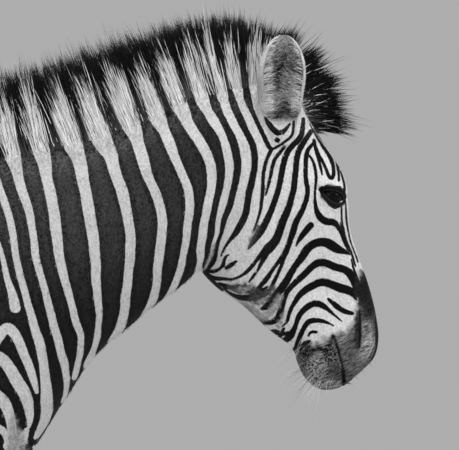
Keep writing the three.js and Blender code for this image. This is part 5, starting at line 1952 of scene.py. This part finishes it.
pelt = Growth(
    "tufts over the hide",
    Number_per_square_metre="Float",
    Region="Int",
    Seed="Int",
    Tuft="Object",
    Finish="Material",
    Lift="Float",
)
here = pelt.node(
    "FunctionNodeCompare",
    {"data_type": "INT", "operation": "EQUAL"},
    {2: pelt.carried("region", "INT"), 3: pelt.named("Region")},
)
sown = pelt.node(
    "GeometryNodeDistributePointsOnFaces",
    {"distribute_method": "RANDOM"},
    {
        "Mesh": pelt.named("Geometry"),
        "Selection": here,
        "Density": pelt.named("Number per square metre") * pelt.carried("fur", "FLOAT"),
        "Seed": pelt.named("Seed"),
    },
)
normal_out = Wire(pelt, sown.socket.node.outputs["Normal"])
stray = pelt.node(
    "FunctionNodeRandomValue",
    {"data_type": "FLOAT_VECTOR"},
    {"Min": (-0.12, -0.12, -0.12), "Max": (0.12, 0.12, 0.12), "Seed": pelt.named("Seed")},
)
kept = pelt.node(
    "GeometryNodeStoreNamedAttribute",
    {"data_type": "FLOAT_VECTOR", "domain": "POINT"},
    {"Geometry": sown, "Name": "out", "Value": normal_out},
)
lifted = pelt.node(
    "VectorMath",
    {"operation": "SCALE"},
    {0: pelt.carried("out", "FLOAT_VECTOR"), "Scale": pelt.named("Lift")},
)
heading = pelt.node("VectorMath", {"operation": "ADD"}, {0: pelt.carried("lie", "FLOAT_VECTOR"), 1: lifted})
heading = pelt.node("VectorMath", {"operation": "ADD"}, {0: heading, 1: stray})
turn = pelt.node(
    "FunctionNodeAxesToRotation",
    {"primary_axis": "Z", "secondary_axis": "X"},
    {0: heading, 1: pelt.carried("out", "FLOAT_VECTOR")},
)
varied = pelt.node(
    "FunctionNodeRandomValue",
    {"data_type": "FLOAT"},
    {2: 0.7, 3: 1.25, "Seed": pelt.named("Seed") + 1},
    output=1,
)
shape = pelt.node(
    "GeometryNodeObjectInfo",
    {"transform_space": "ORIGINAL"},
    {"Object": pelt.named("Tuft")},
    output="Geometry",
)
scale = varied * pelt.carried("hair_length", "FLOAT")
set_out = pelt.node(
    "GeometryNodeInstanceOnPoints",
    (),
    {"Points": kept, "Instance": shape, "Rotation": turn, "Scale": scale},
)
real = pelt.node("GeometryNodeRealizeInstances", (), {"Geometry": set_out})
root_place = pelt.carried("root_place", "FLOAT_VECTOR")
patch = pelt.node(
    "VectorMath",
    {"operation": "SCALE"},
    {0: pelt.carried("patch", "FLOAT_VECTOR"), "Scale": PATCH},
)
spot = pelt.node("VectorMath", {"operation": "ADD"}, {0: root_place, 1: patch})
mapped = pelt.node(
    "GeometryNodeStoreNamedAttribute",
    {"data_type": "FLOAT2", "domain": "CORNER"},
    {"Geometry": real, "Name": "OFBake", "Value": spot},
)
coated = pelt.node("GeometryNodeSetMaterial", (), {"Geometry": mapped, "Material": pelt.named("Finish")})
pelt.join(pelt.result.inputs["Geometry"], coated)

# What the tree reads from the hide: where hair grows thick, how long it is, how it lies, which piece it
# belongs to, and its place on the hide's own unwrap.
IN_HEAD, IN_NECK, IN_TRUNK, IN_LEGS = range(4)
LIE = [(0.42, 0, -0.9), (-0.35, 0, -0.9), (-0.75, 0, -0.65), (-0.12, 0, -1.0)]
HAIR_LENGTH = [5.0, 9.0, 10.0, 7.5]
THICKNESS = [2.6, 1.3, 0.55, 1.0]
GULLET = [(800, 1180), (840, 1112), (905, 1040), (965, 960)]
co = vertices_of(skin.data) * 1000 + ORIGIN
normal = normals_of(skin.data)
stance = square_stance(co)
aside = np.abs(co[:, 1])
on, _, _, _, cup = ear_place(co)
region = np.where(co[:, 2] < 760, IN_LEGS, IN_TRUNK)
region = np.where(is_head(co), IN_HEAD, np.where(in_squares(co), IN_NECK, region))
way = np.array(LIE)[region]
way[:, 1] += 0.25 * np.sign(co[:, 1]) * (region == IN_TRUNK)
way = np.where((on > 0.5)[:, None], [0.0, 0.0, 1.0], way)
way -= normal * (way * normal).sum(1)[:, None]
way /= np.linalg.norm(way, axis=1)[:, None] + 1e-6
r, _, _, facing = eye_place(co)
shows, _, _ = muzzle_tone(co)
bare = np.maximum(shows, smooth_step(r, 40, 30) * (facing > -0.2))
slack = (
    smooth_step(np.abs(to_path(co[:, [0, 2]], GULLET)[0]), 22, 6)
    + smooth_step(aside, 45, 15) * (region == IN_NECK) * (normal[:, 0] > 0.3)
    + smooth_step(aside, 60, 20) * (co[:, 2] < 800) * (region == IN_TRUNK)
    + smooth_step(-normal[:, 0], 0.5, 0.9) * (co[:, 0] < -650)
    + 1.5 * smooth_step(-normal[:, 0], 0.2, 0.8) * (stance[:, 2] < 210) * (stance[:, 2] > 70)
)
fetlock = smooth_step(-normal[:, 0], 0.2, 0.8) * smooth_step(np.abs(stance[:, 2] - 150), 60, 15)
fetlock = fetlock * (region == IN_LEGS)
length = np.choose(region, HAIR_LENGTH) + 4 * np.clip(slack, 0, 1) * (region != IN_HEAD) + 16 * fetlock
length = np.where(on > 0.5, 6.0, length) * (1 - 0.75 * bare)
fur = (0.5 + 2.6 * np.clip(slack, 0, 1.6) + 3 * fetlock) * np.where(on * cup > 0.5, 0.0, 1.0) * (1 - bare)
fur *= np.choose(region, THICKNESS)
fur *= smooth_step(stance[:, 2], 52, 66)
floats(skin.data, "fur", fur)
floats(skin.data, "hair_length", length / 1000)
lie = skin.data.attributes.new("lie", "FLOAT_VECTOR", "POINT")
lie.data.foreach_set("vector", way.astype(np.float32).ravel())
regions = skin.data.attributes.new("region", "INT", "POINT")
regions.data.foreach_set("value", region.astype(np.int32))
uv = np.empty(len(skin.data.loops) * 2)
skin.data.uv_layers["SkinMap"].data.foreach_get("uv", uv)
corner = skin.data.attributes.new("root_place", "FLOAT_VECTOR", "CORNER")
flat = np.column_stack([uv.reshape(-1, 2), np.zeros(len(uv) // 2)])
corner.data.foreach_set("vector", flat.astype(np.float32).ravel())

tuft = tuft_mesh()
TUFTS = (("fur_head", 5200), ("fur_neck", 4600), ("fur_trunk", 4600), ("fur_legs", 4600))
for number, (name, thick) in enumerate(TUFTS):
    mesh = pelt.grown(
        skin,
        Number_per_square_metre=thick * THIN,
        Region=number,
        Seed=81 + number,
        Tuft=tuft,
        Finish=coat.material,
        Lift=0.09,
    )
    piece = linked(name, mesh)
    for key in ("root_place", "patch", "out", "lie", "fur", "hair_length", "region"):
        if key in mesh.attributes:
            mesh.attributes.remove(mesh.attributes[key])
    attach(piece, "root")
for key in ("root_place", "lie", "fur", "hair_length", "region"):
    skin.data.attributes.remove(skin.data.attributes[key])
bpy.data.objects.remove(tuft)

# ---- The studio ----
# A pale floor under the model, and soft light from large screens overhead and on both sides. The
# camera stands level with the neck on the animal's right, a little behind it, with a long lens.

PICTURE_WIDTH = 0.84915
STAND_OFF = 12.0
AIM_RIGHT = 0.7162
AIM_HEIGHT = 1.22675
FLOOR_RADIUS = 7
VIEW = math.radians(-12)
view_right = Vector((math.cos(VIEW), math.sin(VIEW), 0))
view_back = Vector((math.sin(VIEW), -math.cos(VIEW), 0))

lens = bpy.data.cameras.new("camera")
lens.sensor_width = 36
lens.lens = lens.sensor_width * STAND_OFF / PICTURE_WIDTH
camera = linked("camera", lens)
camera.location = view_right * AIM_RIGHT + view_back * STAND_OFF + Vector((0, 0, AIM_HEIGHT))
camera.rotation_euler = (math.radians(90), 0, VIEW)
bpy.context.scene.camera = camera

bpy.ops.mesh.primitive_circle_add(
    vertices=96, radius=FLOOR_RADIUS, fill_type="NGON", location=(0, 0, -0.0005)
)
floor = bpy.context.object
floor.name = "floor"
pale = bpy.data.materials.new("pale floor")
pale.use_nodes = True
pale.node_tree.nodes["Principled BSDF"].inputs["Base Color"].default_value = (0.62, 0.62, 0.62, 1)
pale.node_tree.nodes["Principled BSDF"].inputs["Roughness"].default_value = 0.9
floor.data.materials.append(pale)
floor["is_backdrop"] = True

world = bpy.data.worlds.new("studio")
world.use_nodes = True
world.node_tree.nodes["Background"].inputs["Color"].default_value = (0.42, 0.42, 0.42, 1)
world.node_tree.nodes["Background"].inputs["Strength"].default_value = 1.0
bpy.context.scene.world = world
bpy.context.scene.view_settings.view_transform = "Standard"

SCREENS = {
    "overhead": ((0.3, -0.6, 5.0), (0.2, 0, 0.9), 4.5, 128),
    "front screen": ((4.2, -3.6, 2.8), (0.6, 0, 1.1), 3.0, 84),
    "back screen": ((-4.0, -3.2, 3.0), (0.0, 0, 0.9), 3.0, 42),
    "far screen": ((0.5, 4.8, 3.0), (0.2, 0, 0.9), 3.5, 70),
}
for name, (place, target, size, power) in SCREENS.items():
    light = bpy.data.lights.new(name, "AREA")
    light.shape = "SQUARE"
    light.size = size
    light.energy = power
    screen = linked(name, light)
    screen.location = place
    screen.rotation_euler = (Vector(target) - Vector(place)).to_track_quat("-Z", "Y").to_euler()

# ---- The size of the model ----
# The finished model's box, over the pieces that render, leaving out the floor.

low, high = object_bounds()
